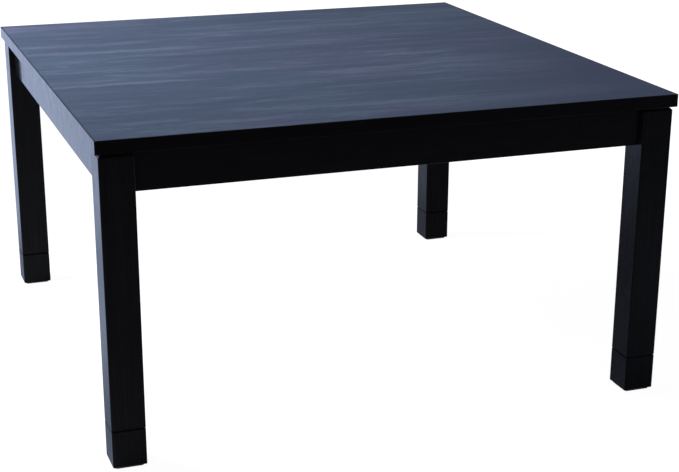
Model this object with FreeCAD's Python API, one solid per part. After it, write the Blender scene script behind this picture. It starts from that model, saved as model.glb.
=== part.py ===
import FreeCAD, Part
import math
import os

# Low square table with a heater under a loose board.
# Origin: centre of the table on the floor. +X runs along the front edge, +Y away from the front, +Z up.
# All lengths are in millimetres.

# Board
board_width = 750.0
board_depth = 750.0
board_thickness = 16.5
face_sheet_thickness = 0.6
edge_band_thickness = 1.0
edge_band_arris = 0.4
board_overhang = 4.0

# Legs
leg_width = 42.0
leg_height = 341.5
leg_edge_round = 1.5
leg_top_chamfer = 3.0
seam_chamfer = 1.2
leg_corner_flat = 8.0

# Leg extensions, with their pegs, sleeves and foot pads
extension_height = 48.0
foot_pad_height = 2.0
foot_pad_inset = 3.0
foot_pad_round = 4.0
peg_radius = 6.0
peg_depth = 28.0
peg_reach = 30.0
peg_tip_chamfer = 1.5
sleeve_wall = 1.6
sleeve_end_gap = 2.0
sleeve_collar_width = 2.0
sleeve_collar_height = 1.0

# Anti-slip pads between the frame and the board
board_pad_height = 2.0
board_pad_radius = 9.0
board_pad_round = 0.5

# Aprons
apron_height = 47.5
apron_thickness = 15.0
apron_recess = 8.5
apron_edge_round = 1.0

# Corner brackets and their fasteners
bracket_height = 34.0
bracket_thickness = 2.0
bracket_leg_gap = 9.0
bracket_flange = 28.0
bracket_end_round = 4.0
hanger_bolt_radius = 4.0
hanger_bolt_depth = 28.0
hanger_bolt_tail = 3.0
washer_radius = 9.0
washer_thickness = 1.6
nut_radius = 7.5
nut_height = 6.5
nut_corner_chamfer = 1.0
wood_screw_radius = 1.8
wood_screw_length = 12.0
wood_screw_head_radius = 3.6
wood_screw_head_height = 2.2
wood_screw_point = 2.5
wood_screw_spread = 18.0

# Heater lattice
rail_pitch = 286.0
rail_width = 22.0
rail_height = 28.0
rail_drop = 6.0
tenon_length = 8.0
tenon_shoulder = 4.0

# Heater casing
casing_gap = 4.0
casing_height = 26.0
casing_draft = 4.0
casing_round = 14.0
casing_sheet = 1.0
flange_lap = 11.0
flange_round = 8.0
casing_screw_edge = 5.0
casing_screw_spread = 200.0
vent_count = 9
vent_width = 4.0
vent_length = 60.0
vent_pitch = 10.0
vent_offset = 75.0

# Reflector
reflector_sheet = 0.6
reflector_height = 16.0
reflector_gap = 3.0
reflector_slope = 21.0
reflector_round = 10.0

# Wire guard
guard_rim_width = 18.0
guard_rim_thickness = 1.2
guard_rim_round = 8.0
guard_screw_edge = 5.0
guard_depth = 30.0
guard_wire_lap = 6.0
guard_slope_run = 22.0
guard_wire = 1.8
guard_weld = 0.3
guard_long_wires = 19
guard_cross_wires = 4

# Quartz tube with its coil, holders and clip
tube_radius = 6.0
tube_wall = 1.0
tube_bend_radius = 60.0
tube_straight = 100.0
tube_drop = 24.0
coil_radius = 2.4
coil_tail = 4.0
holder_width = 20.0
holder_length = 16.0
holder_foot = 4.0
holder_below_tube = 9.0
holder_grip = 9.0
holder_waist = 3.0
clip_sheet = 1.0
clip_width = 8.0
clip_foot = 9.0
clip_hook = 13.0

# Fan and motor
fan_tube_gap = 10.0
fan_hole_gap = 3.0
fan_hub_radius = 13.0
fan_hub_height = 11.0
fan_hub_wall = 1.5
fan_hub_round = 2.0
fan_hub_boss = 3.0
fan_blade_count = 5
fan_blade_sheet = 1.4
fan_blade_chord = 26.0
fan_root_pitch = 38.0
fan_tip_pitch = 24.0
fan_motor_gap = 1.5
shaft_radius = 1.5
shaft_in_motor = 12.0
motor_radius = 17.0
motor_height = 15.0
motor_round = 2.0
motor_nose_radius = 5.0
motor_nose_height = 3.0
motor_ear = 7.0
motor_ear_width = 9.0
motor_ear_sheet = 1.0

# Small screws of the heater
small_screw_radius = 1.6
small_screw_length = 7.0
small_screw_head_radius = 3.2
small_screw_head_height = 2.0

# Control box with the inlet and the safety parts
box_width = 130.0
box_depth = 44.0
box_height = 26.0
box_wall = 2.0
box_round = 5.0
box_draft = 1.5
box_edge_inset = 5.0
box_guard_gap = 3.0
box_ear = 11.0
box_ear_width = 12.0
box_ear_height = 2.5
box_ear_shift = 8.0
box_lead_hole_radius = 4.0
inlet_width = 34.0
inlet_height = 17.0
inlet_depth = 20.0
inlet_round = 3.0
inlet_wall = 3.0
inlet_cavity_depth = 15.0
inlet_lip = 2.0
inlet_lip_height = 1.5
inlet_pin_radius = 2.0
inlet_pin_spread = 14.0
inlet_pin_tip = 3.0
inlet_pin_tail = 4.0
thermostat_radius = 8.0
thermostat_height = 7.0
thermostat_base_height = 3.0
thermostat_base_length = 24.0
thermostat_tab = 6.0
thermostat_tab_width = 5.0
thermostat_tab_sheet = 0.8
fuse_radius = 2.0
fuse_length = 11.0
fuse_lead_radius = 0.6
terminal_width = 26.0
terminal_depth = 12.0
terminal_height = 10.0
terminal_groove = 3.0

# Clearances and cuts
fit_gap = 0.1
running_gap = 0.05
seat_gap = 0.3
overrun = 5.0

# Angles and shares
quarter_turn = 90.0
half_turn = 180.0
hexagon_sides = 6
box_side_share = 0.36
fuse_side_share = 0.3

# Levels
leg_bottom = foot_pad_height + extension_height
leg_top = leg_bottom + leg_height
board_bottom = leg_top + board_pad_height
board_top = board_bottom + board_thickness
apron_bottom = leg_top - apron_height
apron_middle = leg_top - apron_height / 2
rail_top = leg_top - rail_drop
rail_bottom = rail_top - rail_height
flange_bottom = rail_bottom - casing_sheet
casing_top = rail_bottom + casing_height
casing_ceiling = casing_top - casing_sheet
reflector_bottom = flange_bottom - reflector_sheet
reflector_top = flange_bottom + reflector_height
reflector_ceiling = reflector_top - reflector_sheet
guard_rim_bottom = reflector_bottom - guard_rim_thickness
motor_bottom = casing_ceiling - motor_height
nose_bottom = motor_bottom - motor_nose_height
hub_top = nose_bottom - fan_motor_gap
hub_bottom = hub_top - fan_hub_height
tube_level = reflector_ceiling - tube_drop
box_top = reflector_bottom
box_bottom = box_top - box_height
box_floor = box_bottom + box_wall
inlet_level = box_top - box_height / 2

# Places in plan
leg_x = board_width / 2 - board_overhang - leg_width / 2
leg_y = board_depth / 2 - board_overhang - leg_width / 2
apron_length_x = board_width - 2 * board_overhang - 2 * leg_width
apron_length_y = board_depth - 2 * board_overhang - 2 * leg_width
apron_x = board_width / 2 - board_overhang - apron_recess - apron_thickness / 2
apron_y = board_depth / 2 - board_overhang - apron_recess - apron_thickness / 2
rail_clear = rail_pitch - rail_width
flange_width = rail_pitch + 2 * flange_lap
casing_width = rail_clear - 2 * casing_gap
casing_crown = casing_width - 2 * casing_draft
box_back = flange_width / 2 - box_edge_inset
box_y = box_back - box_depth / 2
box_ear_y = box_y - box_ear_shift
hot_width = casing_width - 2 * casing_sheet - 2 * reflector_gap
hot_back = box_back - box_depth - box_guard_gap - guard_rim_width
hot_length = hot_back + hot_width / 2
hot_y = hot_back - hot_length / 2
guard_width = hot_width + 2 * guard_rim_width
guard_length = hot_length + 2 * guard_rim_width
fan_radius = tube_bend_radius - tube_radius - fan_tube_gap
tube_end_x = -(tube_straight + tube_bend_radius) / 2
tube_bend_x = tube_end_x + tube_straight

# Distances along a leg's inner diagonal, from the leg's centre line
diagonal = math.sqrt(2)
flat_distance = (leg_width - leg_corner_flat) / diagonal
bracket_distance = leg_width / diagonal + bracket_leg_gap
washer_distance = bracket_distance + bracket_thickness
nut_distance = washer_distance + washer_thickness
bolt_end_distance = nut_distance + nut_height + hanger_bolt_tail

CORNERS = {
    "back_right": (1, 1, 0 * quarter_turn),
    "back_left": (-1, 1, 1 * quarter_turn),
    "front_left": (-1, -1, 2 * quarter_turn),
    "front_right": (1, -1, 3 * quarter_turn),
}


# Basic forms

def point(x, y, z=0.0):
    return FreeCAD.Vector(x, y, z)


UP = point(0, 0, 1)
DOWN = point(0, 0, -1)
ALONG_X = point(1, 0, 0)
ALONG_Y = point(0, 1, 0)


def block(width, depth, low, high, x=0.0, y=0.0):
    """Box centred on x and y, from the level low to the level high."""
    return Part.makeBox(width, depth, high - low, point(x - width / 2, y - depth / 2, low))


def rounded_outline(width, depth, radius, level, x=0.0, y=0.0):
    """Rectangle with four quarter-circle corners, as one wire."""
    half_x = width / 2
    half_y = depth / 2
    bow = radius * (1 - 1 / diagonal)
    edges = []
    for turn in range(4):
        along, across = (half_x, half_y) if turn % 2 == 0 else (half_y, half_x)
        start = point(along, -across + radius, level)
        stop = point(along, across - radius, level)
        middle = point(along - bow, across - bow, level)
        end = point(along - radius, across, level)
        pair = [Part.makeLine(start, stop), Part.Arc(stop, middle, end).toShape()]
        for edge in pair:
            edge.rotate(point(0, 0), UP, turn * quarter_turn)
            edges.append(edge)
    wire = Part.Wire(edges)
    wire.translate(point(x, y))
    return wire


def rounded_prism(width, depth, radius, low, high, x=0.0, y=0.0):
    face = Part.Face(rounded_outline(width, depth, radius, low, x, y))
    return face.extrude(point(0, 0, high - low))


def tapered_prism(low_size, high_size, radius, low, high, x=0.0, y=0.0):
    """Prism with sloping walls between two rounded rectangles, each given as (width, depth)."""
    low_wire = rounded_outline(low_size[0], low_size[1], radius, low, x, y)
    high_wire = rounded_outline(high_size[0], high_size[1], radius, high, x, y)
    return Part.makeLoft([low_wire, high_wire], True, True)


def round_bar(radius, start, direction, length):
    return Part.makeCylinder(radius, length, start, direction)


def ring(outer, inner, low, high, x=0.0, y=0.0):
    solid = Part.makeCylinder(outer, high - low, point(x, y, low))
    hole = Part.makeCylinder(inner, high - low + 2 * overrun, point(x, y, low - overrun))
    return solid.cut(hole)


def turned(profile, x=0.0, y=0.0):
    """Revolve an outline of (radius, level) points about a vertical line."""
    wire = Part.makePolygon([point(radius, 0, level) for radius, level in profile + profile[:1]])
    solid = Part.Face(wire).revolve(point(0, 0), UP, 2 * half_turn)
    solid.translate(point(x, y))
    return solid


def strip_face(path, side, thickness):
    """Outline of a bent strip in plan.

    The path is one face of the strip, and the thickness lies to its left (side 1) or right
    (side -1). Corners are mitred: each far point lies on the bisector of its two runs.
    """
    normals = []
    for start, end in zip(path, path[1:]):
        length = math.hypot(end[0] - start[0], end[1] - start[1])
        normals.append((-(end[1] - start[1]) / length * side, (end[0] - start[0]) / length * side))
    far = []
    for index, (x, y) in enumerate(path):
        before = normals[max(index - 1, 0)]
        after = normals[min(index, len(normals) - 1)]
        spread = 1 + before[0] * after[0] + before[1] * after[1]
        shift_x = (before[0] + after[0]) / spread * thickness
        shift_y = (before[1] + after[1]) / spread * thickness
        far.append((x + shift_x, y + shift_y))
    outline = [point(x, y) for x, y in path + far[::-1] + path[:1]]
    return Part.Face(Part.makePolygon(outline))


def upright(face_solid, width, y):
    """Turn a strip drawn in plan, extruded upwards by width, into one that stands in the XZ plane."""
    face_solid.rotate(point(0, 0), ALONG_X, quarter_turn)
    face_solid.translate(point(0, y + width / 2))
    return face_solid


def joined(shapes):
    return shapes[0].multiFuse(shapes[1:]).removeSplitter()


def group(shapes):
    return Part.makeCompound(shapes)


def save(name, shape):
    shape.exportStep("parts/" + name + ".step")


# Placing at the corners

def at_corner(shape, corner):
    """Move a shape made about a leg's centre line, inner side towards -X and -Y, to its corner."""
    side_x, side_y, angle = CORNERS[corner]
    placed = shape.copy()
    placed.rotate(point(0, 0), UP, angle)
    placed.translate(point(side_x * leg_x, side_y * leg_y))
    return placed


def on_diagonal(shape, distance, level):
    """Lay a shape built up along Z on a leg's inner diagonal, starting at a distance from its centre."""
    placed = shape.copy()
    placed.rotate(point(0, 0), ALONG_Y, -quarter_turn)
    placed.rotate(point(0, 0), UP, quarter_turn / 2)
    placed.translate(point(-distance / diagonal, -distance / diagonal, level))
    return placed


def at_all_corners(shape):
    return [at_corner(shape, corner) for corner in CORNERS]


# Board

def board_core():
    inner_width = board_width - 2 * edge_band_thickness
    inner_depth = board_depth - 2 * edge_band_thickness
    low = board_bottom + face_sheet_thickness
    high = board_top - face_sheet_thickness
    return block(inner_width, inner_depth, low, high)


def face_sheet(low):
    inner_width = board_width - 2 * edge_band_thickness
    inner_depth = board_depth - 2 * edge_band_thickness
    return block(inner_width, inner_depth, low, low + face_sheet_thickness)


def edge_band(length, offset):
    """Band along X with its outer edges broken, its outer face towards -Y at the offset."""
    outline = [
        point(0, -offset, board_bottom + edge_band_arris),
        point(0, -offset + edge_band_arris, board_bottom),
        point(0, -offset + edge_band_thickness, board_bottom),
        point(0, -offset + edge_band_thickness, board_top),
        point(0, -offset + edge_band_arris, board_top),
        point(0, -offset, board_top - edge_band_arris),
    ]
    band = Part.Face(Part.makePolygon(outline + outline[:1])).extrude(point(length, 0))
    band.translate(point(-length / 2, 0))
    return band


def long_edge_band(length, offset):
    """Band that runs the board's full width, with its outer upright corners broken too."""
    band = edge_band(length, offset)
    keep = Part.makePolygon([
        point(-length / 2 + edge_band_arris, -offset),
        point(length / 2 - edge_band_arris, -offset),
        point(length / 2, -offset + edge_band_arris),
        point(length / 2, -offset + edge_band_thickness),
        point(-length / 2, -offset + edge_band_thickness),
        point(-length / 2, -offset + edge_band_arris),
        point(-length / 2 + edge_band_arris, -offset),
    ])
    mask = Part.Face(keep).extrude(point(0, 0, board_thickness))
    mask.translate(point(0, 0, board_bottom))
    return band.common(mask)


def make_board():
    save("board_core", board_core())
    save("top_face_sheet", face_sheet(board_top - face_sheet_thickness))
    save("bottom_face_sheet", face_sheet(board_bottom))
    front = long_edge_band(board_width, board_depth / 2)
    back = front.copy()
    back.rotate(point(0, 0), UP, half_turn)
    save("edge_band_front", front)
    save("edge_band_back", back)
    right = edge_band(board_depth - 2 * edge_band_thickness, board_width / 2)
    right.rotate(point(0, 0), UP, quarter_turn)
    left = right.copy()
    left.rotate(point(0, 0), UP, half_turn)
    save("edge_band_right", right)
    save("edge_band_left", left)


# Legs, leg extensions, sleeves, pegs and pads

def post(low, high, low_chamfer, high_chamfer):
    """Square post with rounded upright edges and all four edges chamfered at each end.

    It is the space that three prisms share: the rounded square, and the chamfered profile seen
    from the front and from the side.
    """
    half = leg_width / 2
    profile = [
        (-half, low + low_chamfer),
        (-half + low_chamfer, low),
        (half - low_chamfer, low),
        (half, low + low_chamfer),
        (half, high - high_chamfer),
        (half - high_chamfer, high),
        (-half + high_chamfer, high),
        (-half, high - high_chamfer),
        (-half, low + low_chamfer),
    ]
    from_front = Part.Face(Part.makePolygon([point(across, -half, level) for across, level in profile]))
    from_side = Part.Face(Part.makePolygon([point(-half, across, level) for across, level in profile]))
    solid = rounded_prism(leg_width, leg_width, leg_edge_round, low, high)
    solid = solid.common(from_front.extrude(point(0, leg_width)))
    return solid.common(from_side.extrude(point(leg_width, 0)))


def sleeve_outer_radius():
    return peg_radius + fit_gap + sleeve_wall


def sleeve_hole():
    """Bore in the leg's foot for the sleeve, with a counterbore for its collar."""
    outer = sleeve_outer_radius() + fit_gap
    depth = peg_reach + sleeve_end_gap + sleeve_wall
    bore = Part.makeCylinder(outer, depth + overrun, point(0, 0, leg_bottom - overrun))
    seat = Part.makeCylinder(outer + sleeve_collar_width, sleeve_collar_height + overrun,
                             point(0, 0, leg_bottom - overrun))
    return bore.fuse(seat)


def corner_flat_cut():
    """Wedge that takes the leg's inner corner off beside the bracket, over the apron's height."""
    half = leg_width / 2
    reach = half + overrun
    outline = [point(-reach, -reach), point(-half + leg_corner_flat + overrun, -reach),
               point(-reach, -half + leg_corner_flat + overrun), point(-reach, -reach)]
    wedge = Part.Face(Part.makePolygon(outline)).extrude(point(0, 0, apron_height + overrun))
    wedge.translate(point(0, 0, apron_bottom))
    return wedge


def leg():
    solid = post(leg_bottom, leg_top, seam_chamfer, leg_top_chamfer)
    solid = solid.cut(sleeve_hole())
    solid = solid.cut(corner_flat_cut())
    bolt_hole = Part.makeCylinder(hanger_bolt_radius + fit_gap, hanger_bolt_depth + fit_gap + overrun)
    start = flat_distance - hanger_bolt_depth - fit_gap
    return solid.cut(on_diagonal(bolt_hole, start, apron_middle))


def sleeve():
    """Plastic sleeve with a closed top and a thin collar flush with the leg's foot."""
    inner = peg_radius + fit_gap
    outer = sleeve_outer_radius()
    ceiling = leg_bottom + peg_reach + sleeve_end_gap
    return turned([
        (inner, leg_bottom),
        (outer + sleeve_collar_width, leg_bottom),
        (outer + sleeve_collar_width, leg_bottom + sleeve_collar_height),
        (outer, leg_bottom + sleeve_collar_height),
        (outer, ceiling + sleeve_wall),
        (0, ceiling + sleeve_wall),
        (0, ceiling),
        (inner, ceiling),
    ])


def leg_extension():
    solid = post(foot_pad_height, leg_bottom, seam_chamfer, seam_chamfer)
    hole = Part.makeCylinder(peg_radius + fit_gap, peg_depth + overrun, point(0, 0, leg_bottom - peg_depth))
    return solid.cut(hole)


def peg():
    """Turned peg with a chamfer at each end."""
    low = leg_bottom - peg_depth
    high = leg_bottom + peg_reach
    return turned([
        (0, low),
        (peg_radius - peg_tip_chamfer, low),
        (peg_radius, low + peg_tip_chamfer),
        (peg_radius, high - peg_tip_chamfer),
        (peg_radius - peg_tip_chamfer, high),
        (0, high),
    ])


def foot_pad():
    width = leg_width - 2 * foot_pad_inset
    return rounded_prism(width, width, foot_pad_round, 0, foot_pad_height)


def board_pad():
    return turned([
        (0, leg_top),
        (board_pad_radius, leg_top),
        (board_pad_radius, board_bottom - board_pad_round),
        (board_pad_radius - board_pad_round, board_bottom),
        (0, board_bottom),
    ])


def make_legs():
    pieces = {
        "leg": leg(),
        "leg_extension": leg_extension(),
        "extension_peg": peg(),
        "foot_pad": foot_pad(),
    }
    for corner in CORNERS:
        for name, shape in pieces.items():
            save(name + "_" + corner, at_corner(shape, corner))
    save("leg_sleeves", group(at_all_corners(sleeve())))
    save("board_pads", group(at_all_corners(board_pad())))


# Aprons, corner brackets and their fasteners

def bracket_path():
    """Plan of a corner bracket's outer face, about the leg's centre line.

    It runs along one apron's inner face, across the leg's inner corner, and along the other apron.
    """
    face = leg_width / 2 - apron_recess - apron_thickness
    bend = -(bracket_distance * diagonal + face)
    return [(bend - bracket_flange, face), (bend, face), (face, bend), (face, bend - bracket_flange)]


def wood_screw():
    """Wood screw along +Z: the head's flat underside lies at level 0, the point is up."""
    return turned([
        (0, -wood_screw_head_height),
        (wood_screw_head_radius / 2, -wood_screw_head_height),
        (wood_screw_head_radius, -wood_screw_head_height / 2),
        (wood_screw_head_radius, 0),
        (wood_screw_radius, 0),
        (wood_screw_radius, wood_screw_length - wood_screw_point),
        (0, wood_screw_length),
    ])


def in_apron_places(shape):
    """Copies of a piece built up along Z, at a corner's four screw places, entering the aprons."""
    path = bracket_path()
    seat = path[0][1] - bracket_thickness
    middle = path[1][0] - bracket_flange / 2
    copies = []
    for side in (-1, 1):
        level = apron_middle + side * wood_screw_spread / 2
        into_y = shape.copy()
        into_y.rotate(point(0, 0), ALONG_X, -quarter_turn)
        into_y.translate(point(middle, seat, level))
        into_x = shape.copy()
        into_x.rotate(point(0, 0), ALONG_Y, quarter_turn)
        into_x.translate(point(seat, middle, level))
        copies += [into_y, into_x]
    return copies


def screw_hole():
    return Part.makeCylinder(wood_screw_radius + fit_gap, wood_screw_length + fit_gap)


def corner_bracket():
    solid = strip_face(bracket_path(), -1, bracket_thickness).extrude(point(0, 0, bracket_height))
    solid.translate(point(0, 0, apron_middle - bracket_height / 2))
    bolt_hole = Part.makeCylinder(hanger_bolt_radius + seat_gap, bracket_thickness + 2 * overrun)
    solid = solid.cut(on_diagonal(bolt_hole, bracket_distance - overrun, apron_middle))
    for hole in in_apron_places(screw_hole()):
        solid = solid.cut(hole)
    return round_upright_ends(solid)


def round_upright_ends(solid):
    """Round the four corners of the bracket's two free ends."""
    path = bracket_path()
    end = path[0][0]
    edges = []
    for edge in solid.Edges:
        box = edge.BoundBox
        on_x_end = box.XMax - end < fit_gap and box.YLength > fit_gap
        on_y_end = box.YMax - end < fit_gap and box.XLength > fit_gap
        if box.ZLength < fit_gap and (on_x_end or on_y_end):
            edges.append(edge)
    return solid.makeFillet(bracket_end_round, edges)


def hanger_bolt():
    length = bolt_end_distance - flat_distance + hanger_bolt_depth
    tip = hanger_bolt_radius / 4
    return turned([
        (0, 0),
        (hanger_bolt_radius - tip, 0),
        (hanger_bolt_radius, tip),
        (hanger_bolt_radius, length - tip),
        (hanger_bolt_radius - tip, length),
        (0, length),
    ])


def nut():
    """Hexagon nut with its corners turned off at both ends."""
    corners = []
    for side in range(hexagon_sides + 1):
        angle = 2 * math.pi * side / hexagon_sides
        corners.append(point(nut_radius * math.cos(angle), nut_radius * math.sin(angle)))
    prism = Part.Face(Part.makePolygon(corners)).extrude(point(0, 0, nut_height))
    barrel = turned([
        (hanger_bolt_radius + fit_gap, 0),
        (nut_radius - nut_corner_chamfer, 0),
        (nut_radius, nut_corner_chamfer / 2),
        (nut_radius, nut_height - nut_corner_chamfer / 2),
        (nut_radius - nut_corner_chamfer, nut_height),
        (hanger_bolt_radius + fit_gap, nut_height),
    ])
    return prism.common(barrel)


def either_side(pitch):
    """The two places half a pitch each side of the middle."""
    return (-pitch / 2, pitch / 2)


def apron_bar(length, offset):
    """Apron along X with rounded long edges, centred at y = -offset."""
    half = apron_thickness / 2
    radius = apron_edge_round
    section = rounded_outline(apron_thickness, apron_height, radius, 0)
    bar = Part.Face(section).extrude(point(0, 0, length))
    bar.rotate(point(0, 0), ALONG_Y, quarter_turn)
    bar.rotate(point(0, 0), ALONG_X, quarter_turn)
    bar.translate(point(-length / 2, -offset, apron_middle))
    depth = tenon_length + fit_gap
    for x in either_side(rail_pitch):
        width = rail_width - 2 * tenon_shoulder + 2 * fit_gap
        low = rail_bottom + tenon_shoulder - fit_gap
        high = rail_top - tenon_shoulder + fit_gap
        middle = -offset + half - depth / 2 + overrun / 2
        bar = bar.cut(block(width, depth + overrun, low, high, x, middle))
    return bar


def make_aprons():
    front = apron_bar(apron_length_x, apron_y)
    back = front.copy()
    back.rotate(point(0, 0), UP, half_turn)
    right = apron_bar(apron_length_y, apron_x)
    right.rotate(point(0, 0), UP, quarter_turn)
    left = right.copy()
    left.rotate(point(0, 0), UP, half_turn)
    holes = []
    for hole in in_apron_places(screw_hole()):
        holes += at_all_corners(hole)
    for name, solid in (("front", front), ("back", back), ("left", left), ("right", right)):
        save("apron_" + name, solid.cut(holes))


def make_corner_fasteners():
    bracket = corner_bracket()
    for corner in CORNERS:
        save("corner_bracket_" + corner, at_corner(bracket, corner))
    bolt = on_diagonal(hanger_bolt(), flat_distance - hanger_bolt_depth, apron_middle)
    washer_ring = ring(washer_radius, hanger_bolt_radius + seat_gap, 0, washer_thickness)
    washer = on_diagonal(washer_ring, washer_distance, apron_middle)
    save("hanger_bolts", group(at_all_corners(bolt)))
    save("leg_washers", group(at_all_corners(washer)))
    save("leg_nuts", group(at_all_corners(on_diagonal(nut(), nut_distance, apron_middle))))
    screws = []
    for screw in in_apron_places(wood_screw()):
        screws += at_all_corners(screw)
    save("bracket_screws", group(screws))


# Lattice that carries the heater

def rail(length, offset, notch_low, notch_high):
    """Rail along X at y = -offset, with a stub tenon at each end and a half lap at each crossing."""
    body_length = length - 2 * tenon_length
    solid = block(body_length, rail_width, rail_bottom, rail_top, 0, -offset)
    tenon_width = rail_width - 2 * tenon_shoulder
    tenons = block(length, tenon_width, rail_bottom + tenon_shoulder, rail_top - tenon_shoulder, 0, -offset)
    solid = solid.fuse(tenons)
    for x in either_side(rail_pitch):
        solid = solid.cut(block(rail_width + 2 * fit_gap, rail_width + 2 * overrun,
                                notch_low, notch_high, x, -offset))
    return solid.removeSplitter()


def make_lattice():
    span_x = 2 * apron_x - apron_thickness + 2 * tenon_length
    span_y = 2 * apron_y - apron_thickness + 2 * tenon_length
    middle = (rail_bottom + rail_top) / 2
    front = rail(span_x, rail_pitch / 2, rail_bottom - overrun, middle)
    back = front.copy()
    back.rotate(point(0, 0), UP, half_turn)
    right = rail(span_y, rail_pitch / 2, middle, rail_top + overrun)
    right.rotate(point(0, 0), UP, quarter_turn)
    left = right.copy()
    left.rotate(point(0, 0), UP, half_turn)
    holes = casing_screw_places(screw_hole()) + small_screw_holes()
    save("rail_front", front)
    save("rail_back", back)
    save("rail_left", left.cut(holes))
    save("rail_right", right.cut(holes))


def casing_screw_places(shape):
    copies = []
    for x in either_side(flange_width - 2 * casing_screw_edge):
        for side in (-1, 1):
            placed = shape.copy()
            placed.translate(point(x, side * casing_screw_spread / 2, flange_bottom))
            copies.append(placed)
    return copies


# Heater casing and reflector

def vent_slots():
    """Two rows of long slots with round ends, through the casing's crown."""
    slots = []
    for side in (-1, 1):
        for index in range(vent_count):
            y = (index - (vent_count - 1) / 2) * vent_pitch
            slots.append(rounded_prism(vent_length, vent_width, vent_width / 2 - fit_gap,
                                       casing_ceiling - overrun, casing_top + overrun,
                                       side * vent_offset, y))
    return slots


def casing():
    """Pressed steel tray, open below, with a flange under the lattice and slots in its crown."""
    outer = tapered_prism((casing_width, casing_width), (casing_crown, casing_crown),
                          casing_round, rail_bottom, casing_top)
    trim = 2 * casing_sheet
    inner = tapered_prism((casing_width - trim, casing_width - trim), (casing_crown - trim, casing_crown - trim),
                          casing_round - casing_sheet, rail_bottom, casing_ceiling)
    mouth = rounded_prism(casing_width - trim, casing_width - trim, casing_round - casing_sheet,
                          flange_bottom - overrun, rail_bottom)
    flange = rounded_prism(flange_width, flange_width, flange_round, flange_bottom, rail_bottom)
    solid = outer.fuse(flange).cut([inner, mouth])
    solid = solid.cut(vent_slots())
    solid = solid.cut(casing_screw_places(screw_hole()))
    solid = solid.cut(small_screw_holes())
    return solid.removeSplitter()


def reflector():
    """Bright tray with sloping sides and a hole for the fan.

    Its rim lies under the casing's flange, and runs on at the back as a plate that carries the
    control box and closes the casing, with a hole for the leads.
    """
    crown_width = hot_width - 2 * reflector_slope
    crown_length = hot_length - 2 * reflector_slope
    trim = 2 * reflector_sheet
    outer = tapered_prism((hot_width, hot_length), (crown_width, crown_length), reflector_round,
                          reflector_bottom, reflector_top, 0, hot_y)
    inner = tapered_prism((hot_width - trim, hot_length - trim), (crown_width - trim, crown_length - trim),
                          reflector_round - reflector_sheet, reflector_bottom, reflector_ceiling, 0, hot_y)
    plate_length = box_back + guard_width / 2
    plate = rounded_prism(guard_width, plate_length, guard_rim_round, reflector_bottom, flange_bottom,
                          0, box_back - plate_length / 2)
    lead_hole = Part.makeCylinder(box_lead_hole_radius, reflector_sheet + 2 * overrun,
                                  point(0, box_y, reflector_bottom - overrun))
    fan_hole = Part.makeCylinder(fan_radius + fan_hole_gap, reflector_height + 2 * overrun,
                                 point(0, hot_y, reflector_bottom))
    solid = outer.fuse(plate).cut([inner, fan_hole, lead_hole])
    return solid.cut(small_screw_holes()).removeSplitter()


# Wire guard

def guard_share(across, half_span):
    """How deep the basket is at a distance from its middle, as a share of its full depth."""
    return max(0.0, min(1.0, (half_span - abs(across)) / guard_slope_run))


def guard_wire_path(half_span, drop):
    """Hat-shaped path of a wire's upper face: level under the rim, down a slope, and flat."""
    run = guard_slope_run * drop / guard_depth
    end = half_span + guard_wire_lap
    return [(-end, 0), (-half_span, 0), (-half_span + run, -drop), (half_span - run, -drop),
            (half_span, 0), (end, 0)]


def guard_bar(half_span, drop, level, place, along_y):
    """One wire of the guard, of square section with mitred bends."""
    bar = strip_face(guard_wire_path(half_span, drop), -1, guard_wire).extrude(point(0, 0, guard_wire))
    bar = upright(bar, guard_wire, 0)
    if along_y:
        bar.rotate(point(0, 0), UP, quarter_turn)
        bar.translate(point(place, hot_y, level))
    else:
        bar.translate(point(0, hot_y + place, level))
    return bar


def wire_guard():
    """Basket of welded wires below a flat rim.

    The long wires run along X on top. The cross wires run along Y beneath them, and each long wire
    lies as low as the cross wires let it, so the basket slopes on all four sides.
    """
    rim = rounded_prism(guard_width, guard_length, guard_rim_round, guard_rim_bottom, reflector_bottom, 0, hot_y)
    opening = rounded_prism(hot_width, hot_length, reflector_round,
                            guard_rim_bottom - overrun, reflector_bottom + overrun, 0, hot_y)
    rim = rim.cut(opening)
    level = guard_rim_bottom + guard_weld
    pieces = [rim]
    for index in range(guard_long_wires):
        place = ((index + 1) / (guard_long_wires + 1) - 1 / 2) * hot_length
        drop = guard_depth * guard_share(place, hot_length / 2)
        pieces.append(guard_bar(hot_width / 2, drop, level, place, False))
    for index in range(guard_cross_wires):
        place = ((index + 1) / (guard_cross_wires + 1) - 1 / 2) * hot_width
        pieces.append(guard_bar(hot_length / 2, guard_depth, level - guard_wire + guard_weld, place, True))
    solid = joined(pieces)
    return solid.cut(small_screw_holes())


def small_screw_places():
    """Plan places of the screws that hold the rim, the reflector and the control box's ears."""
    rim_x = guard_width / 2 - guard_screw_edge
    rim_y = guard_length / 2 - guard_screw_edge
    places = []
    for side_x in (-1, 1):
        for side_y in (-1, 1):
            places.append((side_x * rim_x, hot_y + side_y * rim_y, guard_rim_bottom))
        places.append((side_x * (box_width / 2 + box_ear / 2), box_ear_y, box_top - box_ear_height))
    return places


def small_screw_holes():
    holes = []
    for x, y, seat in small_screw_places():
        holes.append(Part.makeCylinder(small_screw_radius + fit_gap, small_screw_length + fit_gap,
                                       point(x, y, seat)))
    return holes


def small_screws():
    """Pan-head machine screws, heads down."""
    screws = []
    for x, y, seat in small_screw_places():
        screws.append(turned([
            (0, seat - small_screw_head_height),
            (small_screw_head_radius / 2, seat - small_screw_head_height),
            (small_screw_head_radius, seat - small_screw_head_height / 2),
            (small_screw_head_radius, seat),
            (small_screw_radius, seat),
            (small_screw_radius, seat + small_screw_length),
            (0, seat + small_screw_length),
        ], x, y))
    return group(screws)


# Quartz tube, coil, holders and clip

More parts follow.
